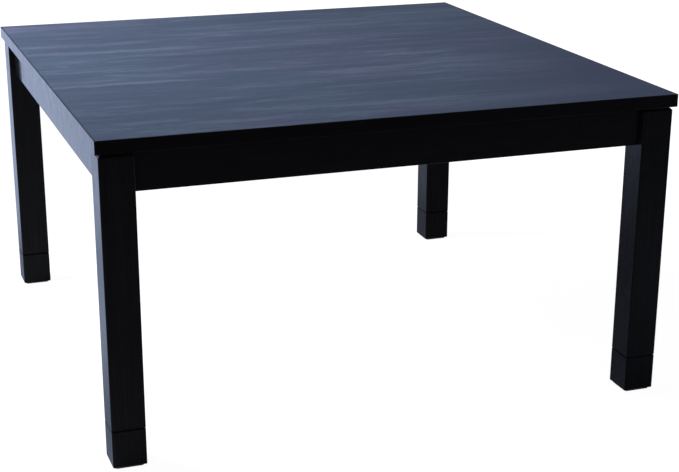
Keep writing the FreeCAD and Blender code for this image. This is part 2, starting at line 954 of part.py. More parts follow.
def tube_path(lengthening):
    """U-shaped path in plan: a straight leg, a half circle and a straight leg back."""
    start = tube_end_x - lengthening
    front = hot_y - tube_bend_radius
    back = hot_y + tube_bend_radius
    edges = [
        Part.makeLine(point(start, front, tube_level), point(tube_bend_x, front, tube_level)),
        Part.Arc(point(tube_bend_x, front, tube_level),
                 point(tube_bend_x + tube_bend_radius, hot_y, tube_level),
                 point(tube_bend_x, back, tube_level)).toShape(),
        Part.makeLine(point(tube_bend_x, back, tube_level), point(start, back, tube_level)),
    ]
    return Part.Wire(edges)


def bent_rod(radius, lengthening):
    path = tube_path(lengthening)
    start = point(tube_end_x - lengthening, hot_y - tube_bend_radius, tube_level)
    section = Part.Wire(Part.makeCircle(radius, start, ALONG_X))
    return path.makePipeShell([section], True, False)


def quartz_tube():
    bore = bent_rod(tube_radius - tube_wall, overrun)
    return bent_rod(tube_radius, 0).cut(bore)


def tube_holder(y):
    """Ceramic pillow block: a wide foot under the reflector's crown, a waist and a head round the tube."""
    half = holder_width / 2
    waist = half - holder_waist
    shoulder = tube_level + tube_radius + holder_waist
    outline = [
        (-half, reflector_ceiling), (half, reflector_ceiling),
        (half, reflector_ceiling - holder_foot), (waist, reflector_ceiling - holder_foot),
        (waist, shoulder), (half, shoulder - holder_waist),
        (half, tube_level - holder_below_tube), (-half, tube_level - holder_below_tube),
        (-half, shoulder - holder_waist), (-waist, shoulder),
        (-waist, reflector_ceiling - holder_foot), (-half, reflector_ceiling - holder_foot),
    ]
    low_x = tube_end_x + holder_grip - holder_length
    corners = [point(low_x, y + across, level) for across, level in outline + outline[:1]]
    solid = Part.Face(Part.makePolygon(corners)).extrude(point(holder_length, 0))
    tube_seat = round_bar(tube_radius + seat_gap, point(tube_end_x, y, tube_level), ALONG_X,
                          holder_grip + overrun)
    tail_hole = round_bar(coil_radius + fit_gap, point(tube_end_x - coil_tail - fit_gap, y, tube_level),
                          ALONG_X, coil_tail + overrun)
    return solid.cut(tube_seat).cut(tail_hole)


def tube_clip():
    """Bent strip that hangs from the reflector's crown and hooks under the tube's bend."""
    beside = tube_bend_x + tube_bend_radius + tube_radius + seat_gap
    below = tube_level - tube_radius - seat_gap
    path = [
        (beside - clip_foot + clip_sheet, reflector_ceiling - clip_sheet),
        (beside, reflector_ceiling - clip_sheet),
        (beside, below),
        (beside - clip_hook, below),
    ]
    strip = strip_face(path, 1, clip_sheet).extrude(point(0, 0, clip_width))
    return upright(strip, clip_width, hot_y)


# Fan and motor

def fan_blade():
    """Blade lofted between a steep root section and a flatter tip section.

    Each section is a thin bowed strip across the radius, turned to its pitch about the radius.
    """
    sections = []
    root = fan_hub_radius - fan_hub_wall / 2
    chord_middle = fan_hub_height / 2
    for radius, pitch in ((root, fan_root_pitch), (fan_radius, fan_tip_pitch)):
        half = min(fan_blade_chord / 2, chord_middle / math.sin(math.radians(fan_root_pitch)))
        sheet = fan_blade_sheet / 2
        bow = fan_blade_sheet
        lower = Part.Arc(point(radius, -half, -sheet), point(radius, 0, -sheet + bow), point(radius, half, -sheet))
        upper = Part.Arc(point(radius, half, sheet), point(radius, 0, sheet + bow), point(radius, -half, sheet))
        wire = Part.Wire([
            lower.toShape(),
            Part.makeLine(point(radius, half, -sheet), point(radius, half, sheet)),
            upper.toShape(),
            Part.makeLine(point(radius, -half, sheet), point(radius, -half, -sheet)),
        ])
        wire.rotate(point(0, 0), ALONG_X, pitch)
        sections.append(wire)
    return Part.makeLoft(sections, True, False)


def fan_rotor():
    """Cup-shaped hub with a boss on the shaft, and pitched blades round it."""
    boss = shaft_radius + fan_hub_boss
    inner = fan_hub_radius - fan_hub_wall
    hub = turned([
        (shaft_radius + running_gap, hub_bottom),
        (fan_hub_radius - fan_hub_round, hub_bottom),
        (fan_hub_radius, hub_bottom + fan_hub_round),
        (fan_hub_radius, hub_top),
        (inner, hub_top),
        (inner, hub_bottom + fan_hub_wall),
        (boss, hub_bottom + fan_hub_wall),
        (boss, hub_top),
        (shaft_radius + running_gap, hub_top),
    ], 0, hot_y)
    cavity = turned([
        (0, hub_bottom - overrun), (inner, hub_bottom - overrun),
        (inner, hub_top + overrun), (0, hub_top + overrun),
    ], 0, hot_y)
    blades = []
    for index in range(fan_blade_count):
        blade = fan_blade()
        blade.rotate(point(0, 0), UP, index * 2 * half_turn / fan_blade_count)
        blade.translate(point(0, hot_y, (hub_bottom + hub_top) / 2))
        blades.append(blade.cut(cavity))
    return joined([hub] + blades)


def motor_shaft():
    return Part.makeCylinder(shaft_radius, motor_bottom + shaft_in_motor - hub_bottom,
                             point(0, hot_y, hub_bottom))


def motor_screw_places():
    return [(side * (motor_radius + motor_ear / 2), hot_y) for side in (-1, 1)]


def fan_motor():
    """Motor can with a bearing nose below and two screwed ears under the casing's crown."""
    bore = shaft_radius + running_gap
    can = turned([
        (bore, nose_bottom),
        (motor_nose_radius, nose_bottom),
        (motor_nose_radius, motor_bottom),
        (motor_radius - motor_round, motor_bottom),
        (motor_radius, motor_bottom + motor_round),
        (motor_radius, casing_ceiling),
        (0, casing_ceiling),
        (0, motor_bottom + shaft_in_motor + running_gap),
        (bore, motor_bottom + shaft_in_motor + running_gap),
    ], 0, hot_y)
    ears = block(2 * (motor_radius + motor_ear), motor_ear_width,
                 casing_ceiling - motor_ear_sheet, casing_ceiling, 0, hot_y)
    middle = Part.makeCylinder(motor_radius - motor_round, motor_ear_sheet + 2 * overrun,
                               point(0, hot_y, casing_ceiling - motor_ear_sheet - overrun))
    solid = can.fuse(ears.cut(middle))
    for x, y in motor_screw_places():
        solid = solid.cut(Part.makeCylinder(small_screw_radius + fit_gap, 2 * overrun,
                                            point(x, y, casing_ceiling - overrun)))
    return solid.removeSplitter()


# Control box, inlet and safety parts

def box_ears(x_sign):
    x = x_sign * (box_width / 2 + box_ear / 2)
    return rounded_prism(box_ear + 2 * box_wall, box_ear_width, box_wall, box_top - box_ear_height, box_top,
                         x - x_sign * box_wall, box_ear_y)


def control_box():
    """Moulded tray closed by the plate above it, with drafted walls, two ears and the inlet's opening."""
    draft = 2 * box_draft
    outer = tapered_prism((box_width - draft, box_depth - draft), (box_width, box_depth),
                          box_round, box_bottom, box_top, 0, box_y)
    outer = joined([outer, box_ears(-1), box_ears(1)])
    trim = 2 * box_wall
    inner = tapered_prism((box_width - draft - trim, box_depth - draft - trim),
                          (box_width - trim, box_depth - trim), box_round - box_wall,
                          box_floor, box_top, 0, box_y)
    solid = outer.cut(inner)
    hole = block(inlet_width + 2 * fit_gap, 2 * box_wall + 2 * overrun,
                 inlet_level - inlet_height / 2 - fit_gap, inlet_level + inlet_height / 2 + fit_gap,
                 0, box_back)
    return solid.cut(hole).cut(small_screw_holes())


def inlet_socket():
    """Moulded inlet: a rounded body with a lip outside the wall and a cavity round two pins."""
    body = rounded_prism(inlet_width, inlet_height, inlet_round, 0, inlet_depth)
    lip_width = inlet_width + 2 * inlet_lip
    lip = rounded_prism(lip_width, inlet_height + 2 * inlet_lip, inlet_round + inlet_lip,
                        inlet_depth, inlet_depth + inlet_lip_height)
    mouth = inlet_depth + inlet_lip_height
    cavity = rounded_prism(inlet_width - 2 * inlet_wall, inlet_height - 2 * inlet_wall, inlet_round,
                           mouth - inlet_cavity_depth, mouth + overrun)
    solid = body.fuse(lip).cut(cavity)
    for side in (-1, 1):
        solid = solid.cut(Part.makeCylinder(inlet_pin_radius + fit_gap, inlet_depth + 2 * overrun,
                                            point(side * inlet_pin_spread / 2, 0, -overrun)))
    return at_inlet(solid.removeSplitter())


def at_inlet(shape):
    """Lay a shape built up along Z into the box's back wall, its outer end towards +Y."""
    shape.rotate(point(0, 0), ALONG_X, -quarter_turn)
    shape.translate(point(0, box_back - inlet_depth, inlet_level))
    return shape


def inlet_pins():
    mouth = inlet_depth + inlet_lip_height
    pins = []
    for side in (-1, 1):
        pin = turned([
            (0, -inlet_pin_tail),
            (inlet_pin_radius, -inlet_pin_tail),
            (inlet_pin_radius, mouth - inlet_pin_tip - inlet_pin_radius / 2),
            (inlet_pin_radius / 2, mouth - inlet_pin_tip),
            (0, mouth - inlet_pin_tip),
        ], side * inlet_pin_spread / 2, 0)
        pins.append(at_inlet(pin))
    return group(pins)


def thermostat():
    """Bimetal disc thermostat on the box's floor, with two tabs."""
    x = -box_width * box_side_share
    base_top = box_floor + thermostat_base_height
    base = rounded_prism(thermostat_base_length, 2 * thermostat_radius, box_wall, box_floor, base_top, x, box_y)
    can = Part.makeCylinder(thermostat_radius, thermostat_height, point(x, box_y, base_top))
    pieces = [base, can]
    for side in (-1, 1):
        tab_x = x + side * (thermostat_base_length / 2 - thermostat_tab_sheet)
        pieces.append(block(thermostat_tab_sheet, thermostat_tab_width, box_floor, base_top + thermostat_tab,
                            tab_x, box_y))
    return joined(pieces)


def thermal_fuse():
    """Axial fuse lying on the box's floor, with its two leads."""
    x = box_width * fuse_side_share
    level = box_floor + fuse_radius
    body = round_bar(fuse_radius, point(x - fuse_length / 2, box_y, level), ALONG_X, fuse_length)
    leads = round_bar(fuse_lead_radius, point(x - fuse_length, box_y, level), ALONG_X, 2 * fuse_length)
    return body.fuse(leads)


def terminal_block():
    """Two-pole block on the box's floor behind the inlet, with a groove between its poles."""
    y = box_back - box_depth + box_wall + box_draft + terminal_depth / 2 + seat_gap
    top = box_floor + terminal_height
    solid = block(terminal_width, terminal_depth, box_floor, top, 0, y)
    groove = block(terminal_groove, terminal_depth + 2 * overrun, top - terminal_height / 2, top + overrun, 0, y)
    return solid.cut(groove)


def make_heater():
    save("heater_casing", casing())
    save("heater_reflector", reflector())
    save("heater_guard", wire_guard())
    save("heater_screws", group(casing_screw_places(wood_screw())))
    save("casing_screws", small_screws())
    save("quartz_tube", quartz_tube())
    save("heating_coil", bent_rod(coil_radius, coil_tail))
    holders = [tube_holder(hot_y + side * tube_bend_radius) for side in (-1, 1)]
    save("tube_holders", group(holders))
    save("tube_clip", tube_clip())
    save("fan_motor", fan_motor())
    save("fan_rotor", fan_rotor())
    save("motor_shaft", motor_shaft())
    save("control_box", control_box())
    save("inlet_socket", inlet_socket())
    save("inlet_pins", inlet_pins())
    save("thermostat", thermostat())
    save("thermal_fuse", thermal_fuse())
    save("terminal_block", terminal_block())


os.makedirs("parts", exist_ok=True)
make_board()
make_legs()
make_aprons()
make_corner_fasteners()
make_lattice()
make_heater()
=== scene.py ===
import math

import bpy
import numpy as np
from bpy.props import FloatProperty, FloatVectorProperty, IntProperty, PointerProperty
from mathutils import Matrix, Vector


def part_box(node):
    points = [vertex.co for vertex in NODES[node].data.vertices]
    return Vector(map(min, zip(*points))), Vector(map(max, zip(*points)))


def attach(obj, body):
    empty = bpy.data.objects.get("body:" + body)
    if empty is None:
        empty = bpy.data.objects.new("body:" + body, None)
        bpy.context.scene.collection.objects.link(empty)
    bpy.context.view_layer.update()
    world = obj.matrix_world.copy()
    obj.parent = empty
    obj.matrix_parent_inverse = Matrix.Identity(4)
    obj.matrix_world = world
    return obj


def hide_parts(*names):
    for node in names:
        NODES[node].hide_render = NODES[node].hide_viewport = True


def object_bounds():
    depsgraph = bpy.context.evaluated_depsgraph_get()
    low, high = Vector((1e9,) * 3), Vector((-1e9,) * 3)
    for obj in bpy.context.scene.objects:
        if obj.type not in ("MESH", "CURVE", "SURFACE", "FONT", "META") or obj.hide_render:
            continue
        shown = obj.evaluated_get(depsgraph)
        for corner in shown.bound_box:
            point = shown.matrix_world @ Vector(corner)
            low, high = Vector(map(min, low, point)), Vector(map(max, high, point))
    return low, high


bl_info = {
    "name": "Low Heated Table",
    "version": (1, 0, 0),
    "blender": (4, 5, 0),
    "location": "View3D > Sidebar > Table",
    "description": "Finishes and fine pieces of a low heated table, built round its packed frame",
    "category": "Object",
}

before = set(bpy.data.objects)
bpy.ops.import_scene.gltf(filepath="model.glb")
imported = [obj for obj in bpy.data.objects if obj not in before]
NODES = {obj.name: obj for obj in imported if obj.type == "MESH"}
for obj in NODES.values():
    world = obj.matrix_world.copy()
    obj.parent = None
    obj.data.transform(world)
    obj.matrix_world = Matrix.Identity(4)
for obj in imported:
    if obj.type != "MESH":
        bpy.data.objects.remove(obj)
FRAME_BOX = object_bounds()
TOP = FRAME_BOX[1].z
CORNERS = ("front_left", "front_right", "back_left", "back_right")
SIDES_ALONG = {"X": ("front", "back"), "Y": ("left", "right")}

# Shift that takes a pattern to another part of the noise.
OTHER_PLACE = (3.7, 1.9, 5.3)

# Each row is a patch of the plan that fades out towards an ellipse: x and y of its middle, its half
# length along X and its half width along Y, all in metres, and its strength. The first ones are the
# clearest light and dark lines of the top's grain in the photograph.
GRAIN_MARKS = (
    (-0.250, -0.092, 0.160, 0.013, 0.13),
    (0.060, -0.092, 0.240, 0.010, 0.07),
    (0.150, -0.020, 0.130, 0.014, 0.10),
    (-0.220, 0.125, 0.170, 0.011, 0.12),
    (-0.110, 0.165, 0.110, 0.009, 0.06),
    (-0.065, 0.200, 0.045, 0.009, 0.10),
    (0.060, -0.190, 0.150, 0.010, 0.08),
    (0.050, -0.298, 0.150, 0.011, 0.10),
    (0.130, -0.145, 0.070, 0.009, 0.06),
    (-0.210, 0.205, 0.160, 0.015, -0.08),
    (-0.110, 0.060, 0.270, 0.016, -0.08),
    (0.210, 0.098, 0.110, 0.014, -0.10),
    (-0.190, -0.230, 0.140, 0.015, -0.14),
    (0.120, -0.112, 0.090, 0.010, -0.06),
    (0.050, -0.165, 0.170, 0.009, -0.07),
    (0.040, -0.046, 0.110, 0.010, -0.06),
)

# The top's painted shade in darker clouds at the right and front right, and the part at the left of the top
# where painted glints break its light lines up into short streaks.
PAINTED_SHADE_CLOUDS = (
    (0.42, -0.20, 0.30, 0.50, 0.82),
    (0.22, -0.40, 0.40, 0.17, 0.68),
)
PAINTED_GLINT_PART = (-0.27, 0.06, 0.30, 0.24, 0.9)

# The table's and a foot's shade on the floor that gloss sees: half length, half width and strength.
TABLE_SHADE = (0.85, 1.8, 0.88)
FOOT_SHADE = (0.25, 0.35, 0.6)
FOOT_SHADE_BACK = 0.08

# That floor is brighter on the far side of the table: the way there, the span of distances along it
# in which the floor brightens, and the dark side's share of the brightness.
FAR_WAY, DARK_END, BRIGHT_START, DARK_SHARE = (-0.3, 1.0, 0.0), -2.0, -0.9, 0.4

# How bright the floor is of itself to the camera and to gloss, and the share of the light that falls
# on it that gloss sees.
CAMERA_GLOW, GLOSS_GLOW, GLOSS_GROUND = 0.97, 1.1, 0.08

# Cross recess of a screw, in shares of its head's radius: half the slot's width and the run of its
# sides, then how far it reaches and the run of its ends.
SLOT_HALF_WIDTH, SLOT_EDGE, SLOT_REACH, SLOT_END = 0.16, 0.06, 0.60, 0.10

# Points round a screw and round a bolt, points along one turn of a thread and of the coil.
SCREW_COLUMNS, BOLT_COLUMNS, THREAD_ROWS, COIL_POINTS = 48, 24, 6, 12


# Settings

def length(name, description, default):
    return FloatProperty(name=name, description=description, default=default, subtype="DISTANCE",
                         unit="LENGTH")


def colour(name, of, default):
    return FloatVectorProperty(name=name, description="Colour of " + of, default=default,
                               subtype="COLOR", size=3, min=0.0, max=1.0)


def share(name, description, default):
    return FloatProperty(name=name, description=description, default=default, subtype="FACTOR",
                         min=0.0, max=1.0)


def count(name, description, default):
    return IntProperty(name=name, description=description, default=default, min=1)


class TableBoardSettings(bpy.types.PropertyGroup):
    # The top's colours are set far lighter and cooler than its black foil, as a painted reflection of the
    # cool room.
    foil: colour("Top foil", "the top's wood-grain foil", (0.070, 0.093, 0.133))
    grain: colour("Dark grain", "the grain's dark lines", (0.048, 0.062, 0.094))
    # Used for the grain's lighter lines and for painted glints at the left of the top.
    light_grain_and_glint: colour("Light streaks", "the short light streaks", (0.125, 0.145, 0.190))
    tinge: colour("Tinge", "the faint warmer clouds in the foil", (0.081, 0.087, 0.137))
    # Painted shade on the top's right and front right.
    painted_shade: colour("Dark clouds", "the foil's darker clouds at the right", (0.044, 0.047, 0.079))
    edge: colour("Edge bands", "the bands' foil", (0.0040, 0.0040, 0.0050))
    backing: colour("Backing foil", "the foil under the board", (0.012, 0.012, 0.014))
    core: colour("Chipboard", "the board's core", (0.45, 0.33, 0.20))
    chip: colour("Dark chips", "the core's darkest chips", (0.24, 0.15, 0.08))
    grain_length: length("Grain length", "Length of the grain's lines", 0.11)
    grain_width: length("Grain width", "Spacing of the grain's lines", 0.010)
    wave_width: length("Wave width", "How far the grain's lines wander", 0.030)
    wave_length: length("Wave length", "Size of the waves in which they wander", 0.12)
    border: length("Dark border", "Width of the foil's dark border along the edge bands", 0.0016)
    roughness: share("Top roughness", "How matt the top is", 0.5)
    gloss: share("Edge reflection", "Specular level of the edge bands, 0.5 being that of glass", 0.36)


class TableFrameSettings(bpy.types.PropertyGroup):
    foil: colour("Leg foil", "the legs", (0.0105, 0.0105, 0.0120))
    apron_foil: colour("Apron foil", "the aprons", (0.0062, 0.0062, 0.0076))
    stain: colour("Stained wood", "the rails under the board", (0.020, 0.016, 0.014))
    stain_light: colour("Stained grain", "the rails' early wood", (0.055, 0.042, 0.034))
    beech: colour("Beech", "the turned pegs", (0.60, 0.42, 0.25))
    beech_fleck: colour("Beech flecks", "the pegs' rays", (0.42, 0.26, 0.14))
    felt: colour("Felt", "the foot pads", (0.045, 0.040, 0.040))
    rubber: colour("Rubber", "the pads under the board", (0.030, 0.030, 0.030))
    zinc: colour("Zinc", "the plated steel", (0.58, 0.59, 0.60))
    sheen: colour("Sheen", "the reflections in the black foil", (0.11, 0.09, 0.07))
    gloss: share("Apron reflection", "Specular level of the aprons, 0.5 being that of glass", 0.36)
    leg_gloss: share("Leg reflection", "Specular level of the legs", 0.185)
    roughness: share("Foil roughness", "How matt the foil of bands, aprons and legs is", 0.1)
    arris: length("Dull arris", "Width of the dull strip along the edge bands' upper arris", 0.0005)
    # Beside the joint the foil is also painted darker, as painted shade of the groove.
    joint: length("Dull joint", "Width of the dull strips beside the joint of leg and extension", 0.0025)
    thread_pitch: length("Thread pitch", "Pitch of the leg bolts' thread", 0.00125)
    thread_depth: length("Thread depth", "Depth of the leg bolts' thread", 0.0007)


class TableHeaterSettings(bpy.types.PropertyGroup):
    paint: colour("Black steel", "the heat-proof paint", (0.020, 0.020, 0.022))
    burnt: colour("Burnt paint", "the paint where dust has burnt in", (0.045, 0.036, 0.030))
    plastic: colour("Black plastic", "control box, inlet and fan", (0.020, 0.020, 0.022))
    bright: colour("Reflector", "the bright sheet", (0.80, 0.81, 0.82))
    heated: colour("Heat tint", "the reflector where the tube has tinted it", (0.72, 0.64, 0.50))
    wire_metal: colour("Heating wire", "the oxidised coil", (0.28, 0.25, 0.23))
    ceramic: colour("Ceramic", "the tube's holders", (0.78, 0.76, 0.70))
    ceramic_stain: colour("Ceramic stain", "the brown trace on them", (0.52, 0.42, 0.30))
    glass: colour("Quartz glass", "the tube", (0.97, 0.97, 0.96))
    steel: colour("Motor can", "the drawn steel", (0.45, 0.45, 0.45))
    oiled: colour("Oiled steel", "the can where it is oiled", (0.36, 0.35, 0.34))
    brass: colour("Brass", "the inlet's pins", (0.75, 0.60, 0.30))
    phenolic: colour("Moulding", "the safety parts", (0.55, 0.50, 0.42))
    wire: length("Guard wire", "Thickness of the guard's wires", 0.0018)
    rim: length("Guard rim", "Width of the guard's flat rim", 0.018)
    rim_sheet: length("Rim sheet", "Thickness of the guard's rim", 0.0012)
    rim_corner: length("Rim corner", "Radius of the rim's outer corners", 0.008)
    mouth_corner: length("Mouth corner", "Radius of its inner corners", 0.010)
    depth: length("Guard depth", "Depth of the wire basket", 0.030)
    slope: length("Guard slope", "Run of the basket's sloping sides", 0.022)
    lap: length("Wire lap", "Length of each wire's end under the rim", 0.006)
    bend: length("Wire bend", "Radius of the wires' bends", 0.004)
    weld: length("Weld", "How far a wire sinks into what it is welded to", 0.0003)
    long_wires: count("Long wires", "Wires along the table's width", 19)
    cross_wires: count("Cross wires", "Wires across them", 4)
    coil_wire: length("Coil wire", "Thickness of the heating wire", 0.0006)
    coil_pitch: length("Coil pitch", "Distance between the coil's turns", 0.0021)
    coil_tail: length("Coil tail", "Length in which the coil closes to a straight end", 0.006)


class TableStageSettings(bpy.types.PropertyGroup):
    surroundings: colour("Surroundings", "the room as glossy surfaces see it", (0.60, 0.71, 1.0))
    key_power: FloatProperty(name="Key light", description="Power of the large light on the left",
                             default=13.9, unit="POWER")
    fill_power: FloatProperty(name="Fill light", description="Power of the light overhead",
                              default=1.6, unit="POWER")
    ambient: share("Ambient", "Strength of the even light from all round", 0.13)
    floor_half: length("Floor", "Half the floor's width", 30.0)
    floor_gap: length("Floor gap", "How far the floor lies below the feet", 0.0005)
    ground: share("Ground", "How light the floor is as a source of light", 0.8)
    shown_ground: share("Shown ground", "How light it is in the picture, where only shadows tell", 0.14)


SETTINGS = {
    "table_board": TableBoardSettings,
    "table_frame": TableFrameSettings,
    "table_heater": TableHeaterSettings,
    "table_stage": TableStageSettings,
}


def settings(name):
    return getattr(bpy.context.scene, name)


# Shader maths

class Value:
    """A socket's value that can stand in a sum. Each operator adds one Math node to its material."""

    def __init__(self, finish, socket):
        self.finish = finish
        self.socket = socket

    def __add__(self, other):
        return self.finish.math("ADD", self, other)

    __radd__ = __add__

    def __sub__(self, other):
        return self.finish.math("SUBTRACT", self, other)

    def __rsub__(self, other):
        return self.finish.math("SUBTRACT", other, self)

    def __mul__(self, other):
        return self.finish.math("MULTIPLY", self, other)

    __rmul__ = __mul__


class Finish:
    """A material and its nodes. Every node comes in through add()."""

    def __init__(self, name, tree=None):
        if tree is None:
            self.material = bpy.data.materials.new(name)
            self.material.use_nodes = True
            tree = self.material.node_tree
        self.tree = tree
        self.tree.nodes.clear()

    def add(self, kind, options=None, inputs=None, output=0):
        """Add a node of a kind. Its options are set first, then its sockets' values or links."""
        node = self.tree.nodes.new(kind)
        for name, value in (options or {}).items():
            setattr(node, name, value)
        for key, value in (inputs or {}).items():
            if isinstance(value, Value):
                self.tree.links.new(value.socket, node.inputs[key])
            else:
                node.inputs[key].default_value = value
        return Value(self, node.outputs[output]) if node.outputs else node

    def math(self, operation, first, second=0.0):
        return self.add("ShaderNodeMath", {"operation": operation}, {0: first, 1: second})

    def place(self, stretch=(1.0, 1.0, 1.0), shift=(0.0, 0.0, 0.0), where=None):
        """Object coordinates in metres, or another place, stretched along each axis and shifted."""
        if where is None:
            where = self.add("ShaderNodeTexCoord", output="Object")
        return self.add("ShaderNodeVectorMath", {"operation": "MULTIPLY_ADD"},
                        {0: where, 1: stretch, 2: shift})

    def level(self, low, high):
        """Height of a point, carried from its span between two levels in metres to the span from 0 to 1."""
        where = self.add("ShaderNodeTexCoord", output="Object")
        return self.span(self.add("ShaderNodeSeparateXYZ", {}, {0: where}, output="Z"), low, high)

    def noise(self, where, detail=2.0, roughness=0.5, distortion=0.0):
        return self.add("ShaderNodeTexNoise", {"noise_dimensions": "3D"},
                        {"Vector": where, "Scale": 1.0, "Detail": detail, "Roughness": roughness,
                         "Distortion": distortion})

    def spots(self, size, detail=2.0, roughness=0.5, distortion=0.0, shift=(0.0, 0.0, 0.0)):
        """Noise of one size in metres every way."""
        return self.noise(self.place(even(size), shift), detail, roughness, distortion)

    def strands(self, axis, step, cross_step, detail=2.0, roughness=0.5, distortion=0.0,
                shift=(0.0, 0.0, 0.0), where=None):
        """Noise drawn out along an axis, in metres along it and across."""
        stretched = self.place(along(axis, step, cross_step), shift, where)
        return self.noise(stretched, detail, roughness, distortion)

    def near(self, where, x, y, reach_x, reach_y, strength):
        """A strength at a point of the plan, eased down to 0 on the ellipse about it."""
        offset = self.place((1 / reach_x, 1 / reach_y, 0.0), (-x / reach_x, -y / reach_y, 0.0), where)
        distance = self.add("ShaderNodeVectorMath", {"operation": "LENGTH"}, {0: offset}, output="Value")
        return strength * self.span(distance, 1.0, 0.0)

    def cells(self, where, output):
        """Random colour of each cell of a broken-up pattern, or the distance to the cell's middle."""
        return self.add("ShaderNodeTexVoronoi", {"feature": "F1"}, {"Vector": where, "Scale": 1.0},
                        output=output)

    def span(self, value, low, high):
        """Carry a value from its span between low and high to the span from 0 to 1, eased at both ends."""
        return self.add("ShaderNodeMapRange", {"interpolation_type": "SMOOTHSTEP"},
                        {"Value": value, "From Min": low, "From Max": high})

    def mix(self, factor, first, second):
        """Mix two colours, each an RGB triple or a Value."""
        first = first if isinstance(first, Value) else (*first, 1.0)
        second = second if isinstance(second, Value) else (*second, 1.0)
        return self.add("ShaderNodeMix", {"data_type": "RGBA", "clamp_factor": True},
                        {0: factor, 6: first, 7: second}, output=2)

    def surface(self, base, height=None, depth=0.0, **sockets):
        """Finish with one Principled surface, raised by a height from 0 to 1 times a depth in metres.

        Keywords are its socket names with _ for a space.
        """
        inputs = {"Base Color": base if isinstance(base, Value) else (*base, 1.0)}
        if height is not None:
            inputs["Normal"] = self.add("ShaderNodeBump", {}, {"Height": height, "Distance": depth})
        for name, value in sockets.items():
            inputs[name.replace("_", " ")] = value
        shader = self.add("ShaderNodeBsdfPrincipled", {}, inputs)
        self.add("ShaderNodeOutputMaterial", {}, {"Surface": shader})
        return self.material


def even(size):
    """Stretch for a pattern of one size in metres every way."""
    return (1 / size, 1 / size, 1 / size)


def along(axis, step, cross_step):
    """Stretch for a pattern drawn out along an axis: a step in metres there, and a cross step elsewhere."""
    stretch = [1 / cross_step] * 3
    stretch["XYZ".index(axis)] = 1 / step
    return tuple(stretch)


def times(factor, tone):
    """A colour with each channel multiplied by a factor."""
    return tuple(factor * level for level in tone)


# Finishes of the board

def top_foil(board):
    """Wood-grain foil of the top.

    Lines along X in four widths are added up with the photograph's clearest ones and spread between
    the grain's two colours. Noise moves all but the widest sideways in waves. A thin dark vein runs
    where the second width crosses its mean, and short dark pores lie along the fibres. Short light
    streaks on the lighter lines at the left are painted glints, and clouds at the right and front right
    are painted shade. The larger of a point's two distances from the middle darkens the border. All of
    the top's colours are far lighter and cooler than its black foil, as a painted reflection of the cool
    room.
    two distances from the middle darkens the border.
    """
    finish = Finish("top_foil")
    wander = board.wave_width * (finish.spots(board.wave_length) - 0.5)
    wave = finish.add("ShaderNodeCombineXYZ", {}, {"Y": wander})
    wavy = finish.add("ShaderNodeVectorMath", {"operation": "ADD"}, {0: finish.place(), 1: wave})
    wide = finish.strands("X", 3.6 * board.grain_length, 4 * board.grain_width, 1.0)
    lines = finish.strands("X", board.grain_length, 1.2 * board.grain_width, 3.0, 0.6, 0.6, where=wavy)
    fine = finish.strands("X", 0.06, 0.0042, 3.0, 0.65, 0.3, where=wavy)
    fibres = finish.strands("X", 0.05, 0.0011, 2.0, 0.65, shift=OTHER_PLACE, where=wavy)
    cloud = finish.spots(0.19, 1.0, shift=OTHER_PLACE)
    streaks = finish.strands("X", 0.020, 0.0045, 1.0, shift=OTHER_PLACE)
    pores = finish.span(finish.strands("X", 0.009, 0.0005, 1.0), 0.40, 0.30)
    marks = 0.0
    for patch in GRAIN_MARKS:
        marks = marks + finish.near(wavy, *patch)
    vein = finish.span(finish.math("ABSOLUTE", lines - 0.5), 0.04, 0.01) * finish.span(fine, 0.40, 0.60)
    drawn = 0.28 * wide + 0.28 * lines + 0.24 * fine + 0.20 * fibres + 1.3 * marks * (0.4 + 1.2 * lines)
    tone = finish.span(drawn - 0.08 * vein, 0.395, 0.605)
    base = finish.mix(finish.span(cloud, 0.38, 0.66), board.foil, board.tinge)
    base = finish.mix(tone, board.grain, base)
    base = finish.mix(0.6 * pores, base, times(0.5, board.grain))
    base = finish.mix(0.25 * finish.span(tone, 0.6, 1.0), base, board.light_grain_and_glint)
    # Painted glints: short light streaks on the lighter lines at the left of the top.
    glint_part = finish.near(finish.place(), *PAINTED_GLINT_PART)
    light = finish.span(streaks, 0.62, 0.70) * finish.span(marks, 0.01, 0.05) * glint_part
    base = finish.mix(light, base, board.light_grain_and_glint)
    # Painted shade: darker clouds at the right and front right of the top.
    for patch in PAINTED_SHADE_CLOUDS:
        base = finish.mix(finish.near(wavy, *patch), base, board.painted_shade)
    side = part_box("top_face_sheet")[1].x
    plan = finish.add("ShaderNodeVectorMath", {"operation": "ABSOLUTE"}, {0: finish.place()})
    across = finish.add("ShaderNodeSeparateXYZ", {}, {0: plan}, output="X")
    back = finish.add("ShaderNodeSeparateXYZ", {}, {0: plan}, output="Y")
    border = finish.span(finish.math("MAXIMUM", across, back), side - board.border, side - 0.6 * board.border)
    base = finish.mix(0.4 * border, base, board.backing)
    rough = board.roughness + 0.14 * (lines - 0.5) + 0.08 * (cloud - 0.5)
    height = 0.4 * lines + 0.2 * fibres - 0.4 * pores
    return finish.surface(base, height, 0.00008, Roughness=rough, Specular_IOR_Level=0.012)


def backing_foil(board):
    """Thin dark paper: fibres lie every way, with a faint cloudiness from the press."""
    finish = Finish("backing_foil")
    fibre_x = finish.strands("X", 0.006, 0.0004)
    fibre_y = finish.strands("Y", 0.006, 0.0004)
    cloud = finish.spots(0.05, 3.0)
    tone = 0.3 * fibre_x + 0.3 * fibre_y + 0.4 * cloud
    base = finish.mix(finish.span(tone, 0.35, 0.65), board.backing, times(1.7, board.backing))
    return finish.surface(base, fibre_x + fibre_y, 0.00002, Roughness=0.66 + 0.2 * (cloud - 0.5),
                          Specular_IOR_Level=0.3)


